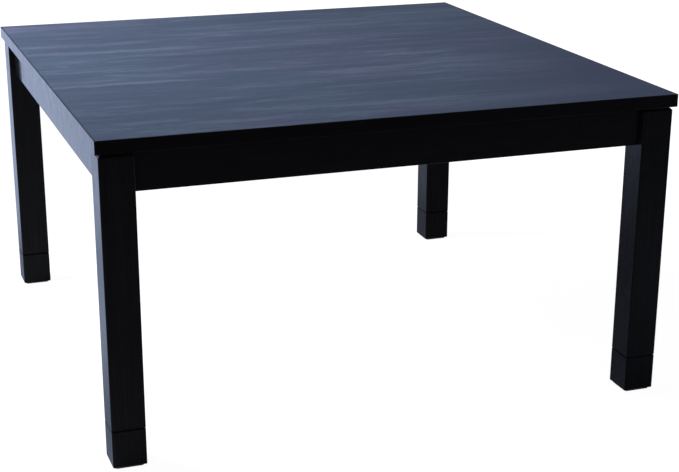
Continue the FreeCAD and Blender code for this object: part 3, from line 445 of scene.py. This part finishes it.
def chipboard(board):
    """Pressed chips: flat random cells of pale and dark wood with rough gaps between them."""
    finish = Finish("chipboard")
    where = finish.place(along("Z", 0.0009, 0.0026))
    chip = finish.add("ShaderNodeSeparateColor", {}, {0: finish.cells(where, "Color")})
    grain = finish.spots(0.0008)
    base = finish.mix(finish.span(0.8 * chip + 0.2 * grain, 0.1, 0.9), board.chip, board.core)
    return finish.surface(base, 1.0 - finish.cells(where, "Distance"), 0.0003, Roughness=0.85,
                          Specular_IOR_Level=0.2)


def dark_foil(name, base, axis, gloss, cut=0.0, width=1.0):
    """Near-black satin foil with its grain along an axis, on a board that makes it gently uneven.

    Pores and clouds dull it a little. It is dull and darker within a width of a cut at one height; at the
    joint of leg and extension the darker strip is painted shade of the groove.
    """
    finish, table = Finish(name), settings("table_frame")
    lines = finish.strands(axis, 0.12, 0.0024, 4.0, 0.6, 0.4)
    cloud = finish.spots(0.045, 3.0)
    mottle = finish.spots(0.007, shift=OTHER_PLACE)
    pores = finish.strands(axis, 0.010, 0.0006, 1.0)
    uneven = finish.spots(0.030, 1.0, shift=OTHER_PLACE)
    grained = finish.mix(finish.span(lines, 0.42, 0.66), base, times(1.3, base))
    rough = table.roughness + 0.10 * (lines - 0.5) + 0.16 * (cloud - 0.5) + 0.16 * (mottle - 0.5)
    # Beside a cut the foil is duller and painted darker; at the leg's joint this is painted shade of the
    # groove.
    if cut:
        beside = finish.level(cut - width, cut) - finish.level(cut, cut + width)
        grained = finish.mix(beside, grained, times(0.3, base))
        rough = rough + 0.7 * beside
    height = 0.05 * lines + 0.05 * finish.span(pores, 0.30, 0.42) + 0.12 * mottle + 0.8 * uneven
    return finish.surface(grained, height, 0.0006, Roughness=rough, Specular_IOR_Level=gloss,
                          Specular_Tint=(*table.sheen, 1.0))


# Finishes of the frame

def stained_wood(table, axis):
    """Planed softwood under a dark stain: growth lines run along an axis, early wood drinks less stain."""
    finish = Finish("stained_wood_" + axis.lower())
    rings = finish.strands(axis, 0.30, 0.0035, 2.0, 0.5, 0.8)
    fibre = finish.strands(axis, 0.02, 0.0005)
    blotch = finish.spots(0.04, shift=OTHER_PLACE)
    tone = finish.span(0.6 * rings + 0.2 * fibre + 0.2 * blotch, 0.40, 0.62)
    base = finish.mix(tone, table.stain, table.stain_light)
    return finish.surface(base, 0.5 * rings + 0.5 * fibre, 0.00012, Roughness=0.62 + 0.2 * (blotch - 0.5),
                          Specular_IOR_Level=0.25)


def turned_beech(table):
    """Turned beech: fine lines along the peg and short dark flecks."""
    finish = Finish("beech")
    lines = finish.strands("Z", 0.03, 0.0012, 3.0)
    flecks = finish.strands("Z", 0.0022, 0.0005, 1.0)
    tone = finish.span(flecks, 0.62, 0.72) + 0.4 * finish.span(lines, 0.45, 0.65)
    base = finish.mix(tone, table.beech, table.beech_fleck)
    return finish.surface(base, lines, 0.00004, Roughness=0.55)


def needled_felt(table):
    """Needled felt: short fibres every way, matted in small tufts."""
    finish = Finish("felt")
    fibres = finish.spots(0.00035, 4.0, 0.7, 2.0)
    tufts = finish.spots(0.002, shift=OTHER_PLACE)
    base = finish.mix(finish.span(fibres, 0.35, 0.65), table.felt, times(2.2, table.felt))
    return finish.surface(base, 0.6 * fibres + 0.4 * tufts, 0.0004, Roughness=0.95, Specular_IOR_Level=0.1,
                          Sheen_Weight=0.3, Sheen_Roughness=0.5)


def moulded(name, base, roughness, grain, depth):
    """Moulded plastic or rubber: a spark-eroded grain, and handling that polishes it in clouds."""
    finish = Finish(name)
    cloud = finish.spots(0.03, 3.0)
    pits = finish.cells(finish.place(even(grain)), "Distance")
    tone = finish.mix(finish.span(cloud, 0.3, 0.7), times(0.8, base), base)
    return finish.surface(tone, pits, depth, Roughness=roughness + 0.2 * (cloud - 0.5))


def plated(table):
    """Plated steel: drawn lines under thin zinc, with a faint bloom in clouds."""
    finish = Finish("zinc_steel")
    lines = finish.strands("Z", 0.02, 0.0003)
    bloom = finish.spots(0.006, 3.0, 0.6, shift=OTHER_PLACE)
    tone = finish.mix(finish.span(bloom, 0.35, 0.7), table.zinc, times(0.72, table.zinc))
    rough = 0.30 + 0.15 * (lines - 0.5) + 0.35 * (bloom - 0.5)
    return finish.surface(tone, lines, 0.00002, Metallic=1.0, Roughness=rough)


# Finishes of the heater

def baked_paint(name, heater, wear):
    """Baked black paint: fine orange peel, dulled and browned in a share of its clouds."""
    finish = Finish(name)
    peel = finish.spots(0.0014, 1.0)
    cloud = finish.spots(0.03, 3.0, 0.6, shift=OTHER_PLACE)
    base = finish.mix(finish.span(cloud, 0.8 - wear, 1.0 - wear), heater.paint, heater.burnt)
    return finish.surface(base, peel, 0.00003, Roughness=0.48 + 0.3 * (cloud - 0.5), Specular_IOR_Level=0.35)


def reflector_sheet(heater):
    """Bright rolled sheet: lines along X, and a warm heat tint that grows towards the crown."""
    finish = Finish("bright_reflector")
    low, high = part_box("heater_reflector")
    rolled = finish.strands("X", 0.05, 0.0004)
    dents = finish.spots(0.02, 1.0)
    bloom = finish.spots(0.012, 3.0, 0.6, shift=OTHER_PLACE)
    tinted = finish.level(low.z, high.z) * finish.span(bloom, 0.35, 0.7)
    base = finish.mix(0.7 * tinted, heater.bright, heater.heated)
    rough = 0.17 + 0.12 * (rolled - 0.5) + 0.20 * (bloom - 0.5)
    return finish.surface(base, 0.1 * rolled + 0.9 * dents, 0.0002, Metallic=1.0, Roughness=rough)


def quartz_glass(heater):
    """Drawn quartz glass: clear, with faint lines along the tube and a little dust."""
    finish = Finish("quartz")
    drawn = finish.strands("X", 0.04, 0.0009)
    dust = finish.spots(0.004, 3.0, 0.7)
    return finish.surface(heater.glass, drawn, 0.00003, Roughness=0.03 + 0.15 * finish.span(dust, 0.5, 0.8),
                          Transmission_Weight=1.0, IOR=1.46)


def hot_wire(heater):
    """Resistance wire with its grey-brown oxide skin."""
    finish = Finish("heating_wire")
    skin = finish.spots(0.003, 3.0, 0.6)
    base = finish.mix(finish.span(skin, 0.35, 0.65), heater.wire_metal, times(0.45, heater.wire_metal))
    return finish.surface(base, Metallic=0.8, Roughness=0.45 + 0.3 * (skin - 0.5))


def steatite(heater):
    """Unglazed ceramic: matt, with fine specks and a trace of brown."""
    finish = Finish("ceramic")
    specks = finish.spots(0.0009, 2.0, 0.7)
    stain = finish.spots(0.009, shift=OTHER_PLACE)
    base = finish.mix(finish.span(specks, 0.60, 0.72), heater.ceramic, times(0.7, heater.ceramic))
    base = finish.mix(0.35 * finish.span(stain, 0.5, 0.75), base, heater.ceramic_stain)
    return finish.surface(base, specks, 0.00005, Roughness=0.7)


def drawn_steel(heater):
    """Deep-drawn motor can: fine upright lines, bare and slightly oiled."""
    finish = Finish("motor_steel")
    lines = finish.strands("Z", 0.03, 0.0004, 3.0)
    oil = finish.spots(0.008, shift=OTHER_PLACE)
    base = finish.mix(finish.span(oil, 0.4, 0.7), heater.steel, heater.oiled)
    return finish.surface(base, lines, 0.00002, Metallic=1.0,
                          Roughness=0.34 + 0.2 * (lines - 0.5) + 0.2 * (oil - 0.5))


def turned_brass(heater):
    """Turned brass pins: rings across the pin, and a light tarnish."""
    finish = Finish("pin_brass")
    rings = finish.strands("Y", 0.0002, 0.01)
    tarnish = finish.spots(0.003)
    base = finish.mix(finish.span(tarnish, 0.45, 0.7), heater.brass, times(0.6, heater.brass))
    return finish.surface(base, rings, 0.00001, Metallic=1.0, Roughness=0.25 + 0.2 * (tarnish - 0.5))


def filled_moulding(heater):
    """Filled phenolic moulding: pale brown with darker specks of filler."""
    finish = Finish("safety_parts")
    filler = finish.spots(0.0007, 2.0, 0.7)
    base = finish.mix(finish.span(filler, 0.55, 0.7), heater.phenolic, times(0.5, heater.phenolic))
    return finish.surface(base, filler, 0.00002, Roughness=0.42 + 0.1 * (filler - 0.5))


def dress(material, *nodes):
    """Give CAD nodes a material in place of their plain one."""
    for node in nodes:
        slots = NODES[node].data.materials
        slots.clear()
        slots.append(material)


def each(stem, places=CORNERS):
    return [stem + "_" + place for place in places]


# Forms

def unit(vectors):
    return vectors / np.linalg.norm(vectors, axis=-1, keepdims=True)


def rounded_path(corners, radius, steps=6):
    """Points of a path in a plane whose corners are rounded.

    A corner that turns by an angle a gets an arc that starts and ends radius * tan(a / 2) from it.
    """
    corners = np.array(corners)
    points = [corners[:1]]
    for before, corner, after in zip(corners, corners[1:], corners[2:]):
        come, go = unit(corner - before), unit(after - corner)
        turn = math.atan2(come[0] * go[1] - come[1] * go[0], come @ go)
        side = math.copysign(1.0, turn) * np.array([-come[1], come[0]])
        middle = corner - come * radius * math.tan(abs(turn) / 2) + side * radius
        sweep = np.linspace(0.0, abs(turn), steps)[:, None]
        points.append(middle + radius * (np.sin(sweep) * come - np.cos(sweep) * side))
    points.append(corners[-1:])
    return np.concatenate(points)


def rounded_rectangle(half_x, half_y, radius, steps=8):
    """Closed loop of points: a quarter circle at each corner, about a middle that lies a radius inside."""
    quarter = np.linspace(0.0, math.pi / 2, steps)
    loop = []
    for turn, (x, y) in enumerate(((1, 1), (-1, 1), (-1, -1), (1, -1))):
        angle = quarter + turn * math.pi / 2
        loop.append(np.stack([x * (half_x - radius) + radius * np.cos(angle),
                              y * (half_y - radius) + radius * np.sin(angle)], -1))
    return np.concatenate(loop)


def round_bars(centres, across, radius, sides=10):
    """Rings of points round centre lines: centre + radius * (cos a * across + sin a * up), for a full turn.

    Centre lines have the shape (bars, points, 3). Up is the tangent crossed with across.
    """
    tangent = unit(np.gradient(centres, axis=-2))
    across = unit(across - np.sum(across * tangent, -1, keepdims=True) * tangent)
    up = np.cross(tangent, across)
    angle = np.arange(sides) * 2 * math.pi / sides
    ring = np.cos(angle)[:, None] * across[..., None, :] + np.sin(angle)[:, None] * up[..., None, :]
    return centres[..., None, :] + radius * ring


def turned(radius, height, places, axes):
    """Turned pieces: each row of points is a ring of a radius at a height along its own axis.

    Radius and height have the shape (rows, columns), places and axes the shape (pieces, 3).
    """
    side = np.where(np.abs(axes[:, 2:]) > 0.5, [[1.0, 0.0, 0.0]], [[0.0, 0.0, 1.0]])
    across = unit(np.cross(side, axes))
    up = np.cross(axes, across)
    angle = np.arange(radius.shape[1]) * 2 * math.pi / radius.shape[1]
    flat_x, flat_y = radius * np.cos(angle), radius * np.sin(angle)
    return (places[:, None, None] + flat_x[..., None] * across[:, None, None]
            + flat_y[..., None] * up[:, None, None] + height[..., None] * axes[:, None, None])


def quads(rows):
    """Four-sided faces that join each point to the next row's and to the next in its own row, all round."""
    onward = np.roll(rows, -1, axis=2)
    return np.stack([rows[:, :-1], onward[:, :-1], onward[:, 1:], rows[:, 1:]], -1).reshape(-1, 4).tolist()


def piece(name, bars, rings, material, replaced):
    """Make one object of grids of points, each of shape (copies, rows, columns, 3), in place of a CAD node.

    Columns run anticlockwise seen against the rows' direction. A bar's first and last rows are closed
    with a face each. A ring's last row joins its first.
    """
    points, faces, start = [], [], 0
    for grid in bars + rings:
        number = start + np.arange(grid[..., 0].size).reshape(grid.shape[:3])
        if any(grid is ring for ring in rings):
            faces += quads(np.concatenate([number, number[:, :1]], axis=1))
        else:
            faces += quads(number) + number[:, 0, ::-1].tolist() + number[:, -1].tolist()
        points.append(grid.reshape(-1, 3))
        start += number.size
    mesh = bpy.data.meshes.new(name)
    mesh.from_pydata(np.concatenate(points).tolist(), [], faces)
    mesh.shade_smooth()
    mesh.set_sharp_from_angle(angle=math.radians(45.0))
    mesh.materials.append(material)
    made = bpy.data.objects.new(name, mesh)
    bpy.context.scene.collection.objects.link(made)
    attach(made, "frame")
    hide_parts(replaced)


def islands(node):
    """Lowest and highest corners of a node's separate solids, each of shape (solids, 3).

    Points at one place are one. Each takes the lowest number among its neighbours until none changes.
    """
    mesh = NODES[node].data
    points = np.empty(3 * len(mesh.vertices))
    mesh.vertices.foreach_get("co", points)
    ends = np.empty(2 * len(mesh.edges), dtype=np.int32)
    mesh.edges.foreach_get("vertices", ends)
    places, number = np.unique(points.reshape(-1, 3).round(6), axis=0, return_inverse=True)
    ends = number.ravel()[ends].reshape(-1, 2)
    label = np.arange(len(places))
    settled = False
    while not settled:
        lower = label.copy()
        least = label[ends].min(axis=1)
        np.minimum.at(lower, ends[:, 0], least)
        np.minimum.at(lower, ends[:, 1], least)
        settled = np.array_equal(lower, label)
        label = lower
    groups = [places[label == key] for key in np.unique(label)]
    return np.array([group.min(0) for group in groups]), np.array([group.max(0) for group in groups])


def pan_head_screws(name, node, material, way):
    """Pan-head screws with a cross recess, in the places of a node's plain ones.

    Each solid's box gives its axis, which is its longest way, its length and its head's width. The
    head is a shallow dome. The recess sinks it where the smaller of a point's two coordinates is
    within the slot's half width and the larger within its reach.
    """
    low, high = islands(node)
    size = high - low
    rows = np.arange(len(low))
    longest = size.argmax(axis=1)
    axes = np.zeros_like(low)
    axes[rows, longest] = way(low, high)[rows, longest]
    total = size.max()
    head = size.min(axis=1).max() / 2
    shank, cap = 0.5 * head, 0.62 * head
    dome_rise, recess_depth = 0.45 * cap, 0.55 * cap
    dome = np.linspace(0.97, 0.02, 22)
    tip_radius, tip_height = [0.03 * head, 0.3 * head, shank], [0.0, 0.08 * total, 0.2 * total]
    rim_radius, rim_height = [shank, head, head], [total - cap, total - cap, total - cap + dome_rise]
    radius = np.concatenate([tip_radius, rim_radius, head * dome])
    height = np.concatenate([tip_height, rim_height, total - dome_rise * dome ** 2])
    angle = np.arange(SCREW_COLUMNS) * 2 * math.pi / SCREW_COLUMNS
    side_x, side_y = abs(np.outer(radius, np.cos(angle))) / head, abs(np.outer(radius, np.sin(angle))) / head
    slot = np.clip((SLOT_HALF_WIDTH - np.minimum(side_x, side_y)) / SLOT_EDGE, 0, 1)
    reach = np.clip((SLOT_REACH - np.maximum(side_x, side_y)) / SLOT_END, 0, 1)
    on_dome = (np.arange(len(radius)) >= len(radius) - len(dome))[:, None]
    height = height[:, None] - recess_depth * slot * reach * on_dome
    grid = turned(radius[:, None] * np.ones(SCREW_COLUMNS), height, (low + high) / 2 - axes * total / 2, axes)
    piece(name, [grid], [], material, node)


def downward(low, high):
    return -np.ones_like(low)


def inward(low, high):
    return -np.sign(low + high)


def threaded_bolts(table, material):
    """Leg bolts whose thread is a height field on a cylinder.

    At a height h and a share a of the full turn, the surface lies below the bolt's radius by the
    thread's depth times twice the distance of h / pitch - a from the nearest whole number.
    """
    low, high = islands("hanger_bolts")
    size = (high - low).max(axis=0)
    radius = size[2] / 2
    total = math.sqrt(2) * size[0] - 2 * radius
    middle = (low + high) / 2
    axes = unit(-middle * [1.0, 1.0, 0.0])
    rows = int(THREAD_ROWS * total / table.thread_pitch)
    height = np.linspace(0.0, total, rows)[:, None] * np.ones(BOLT_COLUMNS)
    wave = height / table.thread_pitch - np.linspace(0.0, 1.0, BOLT_COLUMNS, endpoint=False)
    groove = table.thread_depth * 2 * abs(wave - np.round(wave))
    from_end = np.minimum(height, total - height)
    chamfer = np.clip(table.thread_pitch - from_end, 0, None)
    grid = turned(radius - np.maximum(groove, chamfer), height, middle - axes * total / 2, axes)
    piece("threaded_hanger_bolts", [grid], [], material, "hanger_bolts")


def guard_wires(heater, half, places, drops, level, middle_y, along_y):
    """Wires whose centre lines run level under the rim, down a slope, flat, and up again.

    A wire that drops less than the full depth has a slope that is shorter in the same ratio.
    """
    end = half + heater.lap
    lines = []
    for drop in drops:
        foot = half - heater.slope * drop / heater.depth
        corners = [(-end, 0.0), (-half, 0.0), (-foot, -drop), (foot, -drop), (half, 0.0), (end, 0.0)]
        lines.append(rounded_path(corners, heater.bend))
    onward, rise = np.moveaxis(np.array(lines), -1, 0)
    beside = np.broadcast_to(places[:, None], onward.shape)
    if along_y:
        centres = np.stack([beside, middle_y + onward, level + rise], -1)
        side = (-1.0, 0.0, 0.0)
    else:
        centres = np.stack([onward, middle_y + beside, level + rise], -1)
        side = (0.0, 1.0, 0.0)
    return round_bars(centres, np.broadcast_to(side, centres.shape), heater.wire / 2)


def guard_rim(heater, half_x, half_y, top, middle_y):
    """Flat rim between two rounded rectangles, its two edges rounded over by half its thickness.

    The rows run round the rim, and the columns round its section.
    """
    inner = rounded_rectangle(half_x, half_y, heater.mouth_corner)
    outer = rounded_rectangle(half_x + heater.rim, half_y + heater.rim, heater.rim_corner)
    half = heater.rim_sheet / 2
    inset = half / heater.rim
    turn = np.linspace(math.pi / 2, -math.pi / 2, 7)
    out = np.concatenate([inset - inset * np.cos(turn), 1 - inset + inset * np.cos(turn)])
    rise = np.concatenate([-half * np.sin(turn), half * np.sin(turn)])
    plan = inner[:, None] + out[:, None] * (outer - inner)[:, None]
    grid = np.concatenate([plan, np.broadcast_to(rise[:, None], plan.shape[:2] + (1,))], -1)
    return (grid + [0.0, middle_y, top - half])[None]


def coil(heater, low, high):
    """Helix round the tube's U-shaped centre line.

    The centre line is a straight run, a half circle and a run back. At a distance s along it the wire
    lies at centre + radius * (cos p * sideways + sin p * up), with the phase p of s / pitch turns. The
    radius closes to nothing over a tail's length at both ends.
    """
    rod = (high.z - low.z) / 2
    bend = (high.y - low.y) / 2 - rod
    straight = high.x - low.x - bend - rod
    total = 2 * straight + math.pi * bend
    s = np.linspace(0.0, total, int(COIL_POINTS * total / heater.coil_pitch))
    angle = np.clip((s - straight) / bend, 0.0, math.pi)
    back = np.clip(s - straight - math.pi * bend, 0.0, straight)
    centre = np.stack([low.x + np.minimum(s, straight) - back + bend * np.sin(angle),
                       (low.y + high.y) / 2 - bend * np.cos(angle),
                       np.full_like(s, (low.z + high.z) / 2)], -1)
    sideways = np.stack([np.sin(angle), -np.cos(angle), np.zeros_like(s)], -1)
    phase = (2 * math.pi * s / heater.coil_pitch)[:, None]
    offset = np.cos(phase) * sideways + np.sin(phase) * [0.0, 0.0, 1.0]
    closing = np.clip(np.minimum(s, total - s) / heater.coil_tail, 0.0, 1.0)[:, None]
    wire = centre + (rod - heater.coil_wire / 2) * closing * offset
    return round_bars(wire[None], offset[None], heater.coil_wire / 2, sides=5)


# Operators

class TABLE_OT_stage(bpy.types.Operator):
    """Make the floor, the surroundings, the lights and the camera"""

    bl_idname = "table.stage"
    bl_label = "Stage"

    def execute(self, context):
        stage = settings("table_stage")
        make_world(stage)
        make_floor(stage)
        make_lights(stage)
        make_camera()
        context.scene.view_settings.view_transform = "Standard"
        return {"FINISHED"}


class TABLE_OT_board(bpy.types.Operator):
    """Finish the board: core, face sheets and edge bands"""

    bl_idname = "table.board"
    bl_label = "Board"

    def execute(self, context):
        board, table = settings("table_board"), settings("table_frame")
        dress(top_foil(board), "top_face_sheet")
        dress(backing_foil(board), "bottom_face_sheet")
        dress(chipboard(board), "board_core")
        for axis, sides in SIDES_ALONG.items():
            dress(dark_foil("band_foil_" + axis.lower(), board.edge, axis, board.gloss, TOP, table.arris),
                  *each("edge_band", sides))
        return {"FINISHED"}


class TABLE_OT_frame(bpy.types.Operator):
    """Finish the legs, their extensions, the aprons and the pads"""

    bl_idname = "table.frame"
    bl_label = "Legs and Aprons"

    def execute(self, context):
        table = settings("table_frame")
        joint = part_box("leg_front_left")[0].z
        dress(dark_foil("leg_foil", table.foil, "Z", table.leg_gloss, joint, table.joint),
              *each("leg"), *each("leg_extension"))
        for axis, sides in SIDES_ALONG.items():
            dress(dark_foil("apron_foil_" + axis.lower(), table.apron_foil, axis, table.gloss),
                  *each("apron", sides))
        dress(turned_beech(table), *each("extension_peg"))
        dress(needled_felt(table), *each("foot_pad"))
        dress(moulded("pad_rubber", table.rubber, 0.8, 0.0006, 0.00004), "board_pads")
        dress(moulded("sleeve_plastic", table.rubber, 0.5, 0.0004, 0.00001), "leg_sleeves")
        return {"FINISHED"}


class TABLE_OT_lattice(bpy.types.Operator):
    """Finish the four rails that carry the heater"""

    bl_idname = "table.lattice"
    bl_label = "Lattice"

    def execute(self, context):
        table = settings("table_frame")
        for axis, sides in SIDES_ALONG.items():
            dress(stained_wood(table, axis), *each("rail", sides))
        return {"FINISHED"}


class TABLE_OT_fasteners(bpy.types.Operator):
    """Finish brackets, washers and nuts, and make the threads and recesses of bolts and screws"""

    bl_idname = "table.fasteners"
    bl_label = "Fasteners"

    def execute(self, context):
        table = settings("table_frame")
        zinc = plated(table)
        dress(zinc, *each("corner_bracket"), "leg_washers", "leg_nuts", "tube_clip", "motor_shaft")
        pan_head_screws("cross_bracket_screws", "bracket_screws", zinc, inward)
        pan_head_screws("cross_casing_screws", "casing_screws", zinc, downward)
        pan_head_screws("cross_heater_screws", "heater_screws", zinc, downward)
        threaded_bolts(table, zinc)
        return {"FINISHED"}


class TABLE_OT_guard(bpy.types.Operator):
    """Weld the heater's guard of round wires under its rim"""

    bl_idname = "table.guard"
    bl_label = "Wire Guard"

    def execute(self, context):
        heater = settings("table_heater")
        low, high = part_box("heater_guard")
        middle_y = (low.y + high.y) / 2
        half_x = (high.x - low.x) / 2 - heater.rim
        half_y = (high.y - low.y) / 2 - heater.rim
        upper = high.z - heater.rim_sheet + heater.weld - heater.wire / 2
        lower = upper - heater.wire + heater.weld
        places = np.linspace(-half_y, half_y, heater.long_wires + 2)[1:-1]
        drops = heater.depth * np.clip((half_y - abs(places)) / heater.slope, 0, 1)
        long_wires = guard_wires(heater, half_x, places, drops, upper, middle_y, False)
        places = np.linspace(-half_x, half_x, heater.cross_wires + 2)[1:-1]
        drops = np.full(heater.cross_wires, heater.depth)
        cross_wires = guard_wires(heater, half_y, places, drops, lower, middle_y, True)
        rim = guard_rim(heater, half_x, half_y, high.z, middle_y)
        piece("round_wire_guard", [long_wires, cross_wires], [rim], baked_paint("guard_paint", heater, 0.45),
              "heater_guard")
        return {"FINISHED"}


class TABLE_OT_tube(bpy.types.Operator):
    """Finish the quartz tube with its holders, and wind the heating coil"""

    bl_idname = "table.tube"
    bl_label = "Quartz Tube and Coil"

    def execute(self, context):
        heater = settings("table_heater")
        dress(quartz_glass(heater), "quartz_tube")
        dress(steatite(heater), "tube_holders")
        low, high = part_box("heating_coil")
        wound = coil(heater, low, high)
        piece("wound_heating_coil", [wound], [], hot_wire(heater), "heating_coil")
        return {"FINISHED"}


class TABLE_OT_heater(bpy.types.Operator):
    """Finish the heater's casing, reflector, fan, motor, control box and inlet"""

    bl_idname = "table.heater"
    bl_label = "Heater"

    def execute(self, context):
        heater = settings("table_heater")
        dress(baked_paint("casing_paint", heater, 0.30), "heater_casing")
        dress(reflector_sheet(heater), "heater_reflector")
        dress(moulded("black_plastic", heater.plastic, 0.42, 0.0005, 0.00003),
              "control_box", "inlet_socket", "fan_rotor")
        dress(drawn_steel(heater), "fan_motor")
        dress(turned_brass(heater), "inlet_pins")
        dress(filled_moulding(heater), "thermostat", "thermal_fuse", "terminal_block")
        return {"FINISHED"}


# Stage

def make_world(stage):
    """White as the camera sees it, pale and cool as gloss and glass see it, dimmer as a light source."""
    world = bpy.data.worlds.new("surroundings")
    bpy.context.scene.world = world
    world.use_nodes = True
    finish = Finish("surroundings", world.node_tree)
    seen, shown = seen_colour(finish, stage)
    lit = finish.add("ShaderNodeBackground", {}, {"Color": (1.0, 1.0, 1.0, 1.0), "Strength": stage.ambient})
    bright = finish.add("ShaderNodeBackground", {}, {"Color": shown, "Strength": 1.0})
    both = finish.add("ShaderNodeMixShader", {}, {0: seen, 1: lit, 2: bright})
    finish.add("ShaderNodeOutputWorld", {}, {"Surface": both})


def seen_colour(finish, stage):
    """Whether a ray comes from the camera, gloss or glass, and the colour that it sees."""
    camera = finish.add("ShaderNodeLightPath", output="Is Camera Ray")
    glossy = finish.add("ShaderNodeLightPath", output="Is Glossy Ray")
    through = finish.add("ShaderNodeLightPath", output="Is Transmission Ray")
    seen = finish.math("MAXIMUM", camera, finish.math("MAXIMUM", glossy, through))
    return seen, finish.mix(camera, stage.surroundings, (1.0, 1.0, 1.0))


def make_floor(stage):
    """Pale floor that shows as the white background, less the table's soft shadow. From below it isn't seen.

    Gloss sees it dimmed where the table keeps the room's light off it, round each foot, and towards
    the dark side of the room behind the camera.
    """
    half = stage.floor_half
    level = FRAME_BOX[0].z - stage.floor_gap
    mesh = bpy.data.meshes.new("floor")
    corners = [(-half, -half, level), (half, -half, level), (half, half, level), (-half, half, level)]
    mesh.from_pydata(corners, [], [(0, 1, 2, 3)])
    floor = bpy.data.objects.new("floor", mesh)
    bpy.context.scene.collection.objects.link(floor)
    finish = Finish("floor")
    seen, shown = seen_colour(finish, stage)
    lit = finish.add("ShaderNodeBsdfDiffuse", {}, {"Color": (*[stage.ground] * 3, 1.0)})
    camera = finish.add("ShaderNodeLightPath", output="Is Camera Ray")
    shadow = finish.mix(camera, times(GLOSS_GROUND, stage.surroundings), [stage.shown_ground] * 3)
    shade = finish.add("ShaderNodeBsdfDiffuse", {}, {"Color": shadow})
    plan = finish.place()
    away = finish.add("ShaderNodeVectorMath", {"operation": "DOT_PRODUCT"}, {0: plan, 1: FAR_WAY},
                      output="Value")
    shaded = DARK_SHARE + (1.0 - DARK_SHARE) * finish.span(away, DARK_END, BRIGHT_START)
    shades = [(0.0, 0.0, *TABLE_SHADE)]
    for pad in each("foot_pad"):
        low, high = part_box(pad)
        shades.append((low.x, high.y + FOOT_SHADE_BACK, *FOOT_SHADE))
    for patch in shades:
        shaded = shaded * (1.0 - finish.near(plan, *patch))
    strength = finish.math("MAXIMUM", CAMERA_GLOW * camera, GLOSS_GLOW * shaded)
    glow = finish.add("ShaderNodeEmission", {}, {"Color": shown, "Strength": strength})
    bright = finish.add("ShaderNodeAddShader", {}, {0: shade, 1: glow})
    top = finish.add("ShaderNodeMixShader", {}, {0: seen, 1: lit, 2: bright})
    below = finish.add("ShaderNodeNewGeometry", output="Backfacing")
    clear = finish.add("ShaderNodeBsdfTransparent")
    both = finish.add("ShaderNodeMixShader", {}, {0: below, 1: top, 2: clear})
    finish.add("ShaderNodeOutputMaterial", {}, {"Surface": both})
    mesh.materials.append(finish.material)


def make_lights(stage):
    """A cool light on the left, a little behind the table and aimed at its left edge, and one overhead."""
    area_light("key_light", (-1.4, 0.55, 1.15), (-0.45, 0.15, 0.4), 1.0, stage.key_power, (0.90, 0.95, 1.0),
               math.radians(70))
    area_light("top_light", (0.3, -0.2, 2.6), (0.0, 0.0, 0.4), 2.0, stage.fill_power, (1.0, 1.0, 1.0))


def area_light(name, place, aim, size, power, tint, spread=math.pi):
    data = bpy.data.lights.new(name, "AREA")
    data.shape = "SQUARE"
    data.size = size
    data.energy = power
    data.color = tint
    data.spread = spread
    lamp = bpy.data.objects.new(name, data)
    lamp.location = place
    direction = Vector(aim) - Vector(place)
    lamp.rotation_euler = direction.to_track_quat("-Z", "Y").to_euler()
    lamp.visible_camera = False
    bpy.context.scene.collection.objects.link(lamp)


def make_camera():
    """Camera at the photograph's viewpoint."""
    data = bpy.data.cameras.new("camera")
    data.sensor_width = 36.0
    data.lens = 80.725
    data.shift_x = -0.0235
    data.shift_y = 0.05
    camera = bpy.data.objects.new("camera", data)
    camera.location = (-0.6729, -2.0222, 0.8372)
    camera.rotation_euler = (1.23418, -0.00644, -0.35236)
    bpy.context.scene.collection.objects.link(camera)
    bpy.context.scene.camera = camera


OPERATORS = (TABLE_OT_stage, TABLE_OT_board, TABLE_OT_frame, TABLE_OT_lattice, TABLE_OT_fasteners,
             TABLE_OT_guard, TABLE_OT_tube, TABLE_OT_heater)


class TABLE_PT_pieces(bpy.types.Panel):
    """Lists the table's groups of pieces"""

    bl_label = "Low Heated Table"
    bl_idname = "TABLE_PT_pieces"
    bl_space_type = "VIEW_3D"
    bl_region_type = "UI"
    bl_category = "Table"

    def draw(self, context):
        for operator in OPERATORS:
            self.layout.operator(operator.bl_idname)


def register():
    for group in SETTINGS.values():
        bpy.utils.register_class(group)
    for name, group in SETTINGS.items():
        setattr(bpy.types.Scene, name, PointerProperty(type=group))
    for operator in OPERATORS:
        bpy.utils.register_class(operator)
    bpy.utils.register_class(TABLE_PT_pieces)


def unregister():
    bpy.utils.unregister_class(TABLE_PT_pieces)
    for operator in reversed(OPERATORS):
        bpy.utils.unregister_class(operator)
    for name in SETTINGS:
        delattr(bpy.types.Scene, name)
    for group in reversed(SETTINGS.values()):
        bpy.utils.unregister_class(group)


def main():
    register()
    for operator in OPERATORS:
        group, name = operator.bl_idname.split(".")
        getattr(getattr(bpy.ops, group), name)()


if __name__ == "__main__":
    main()
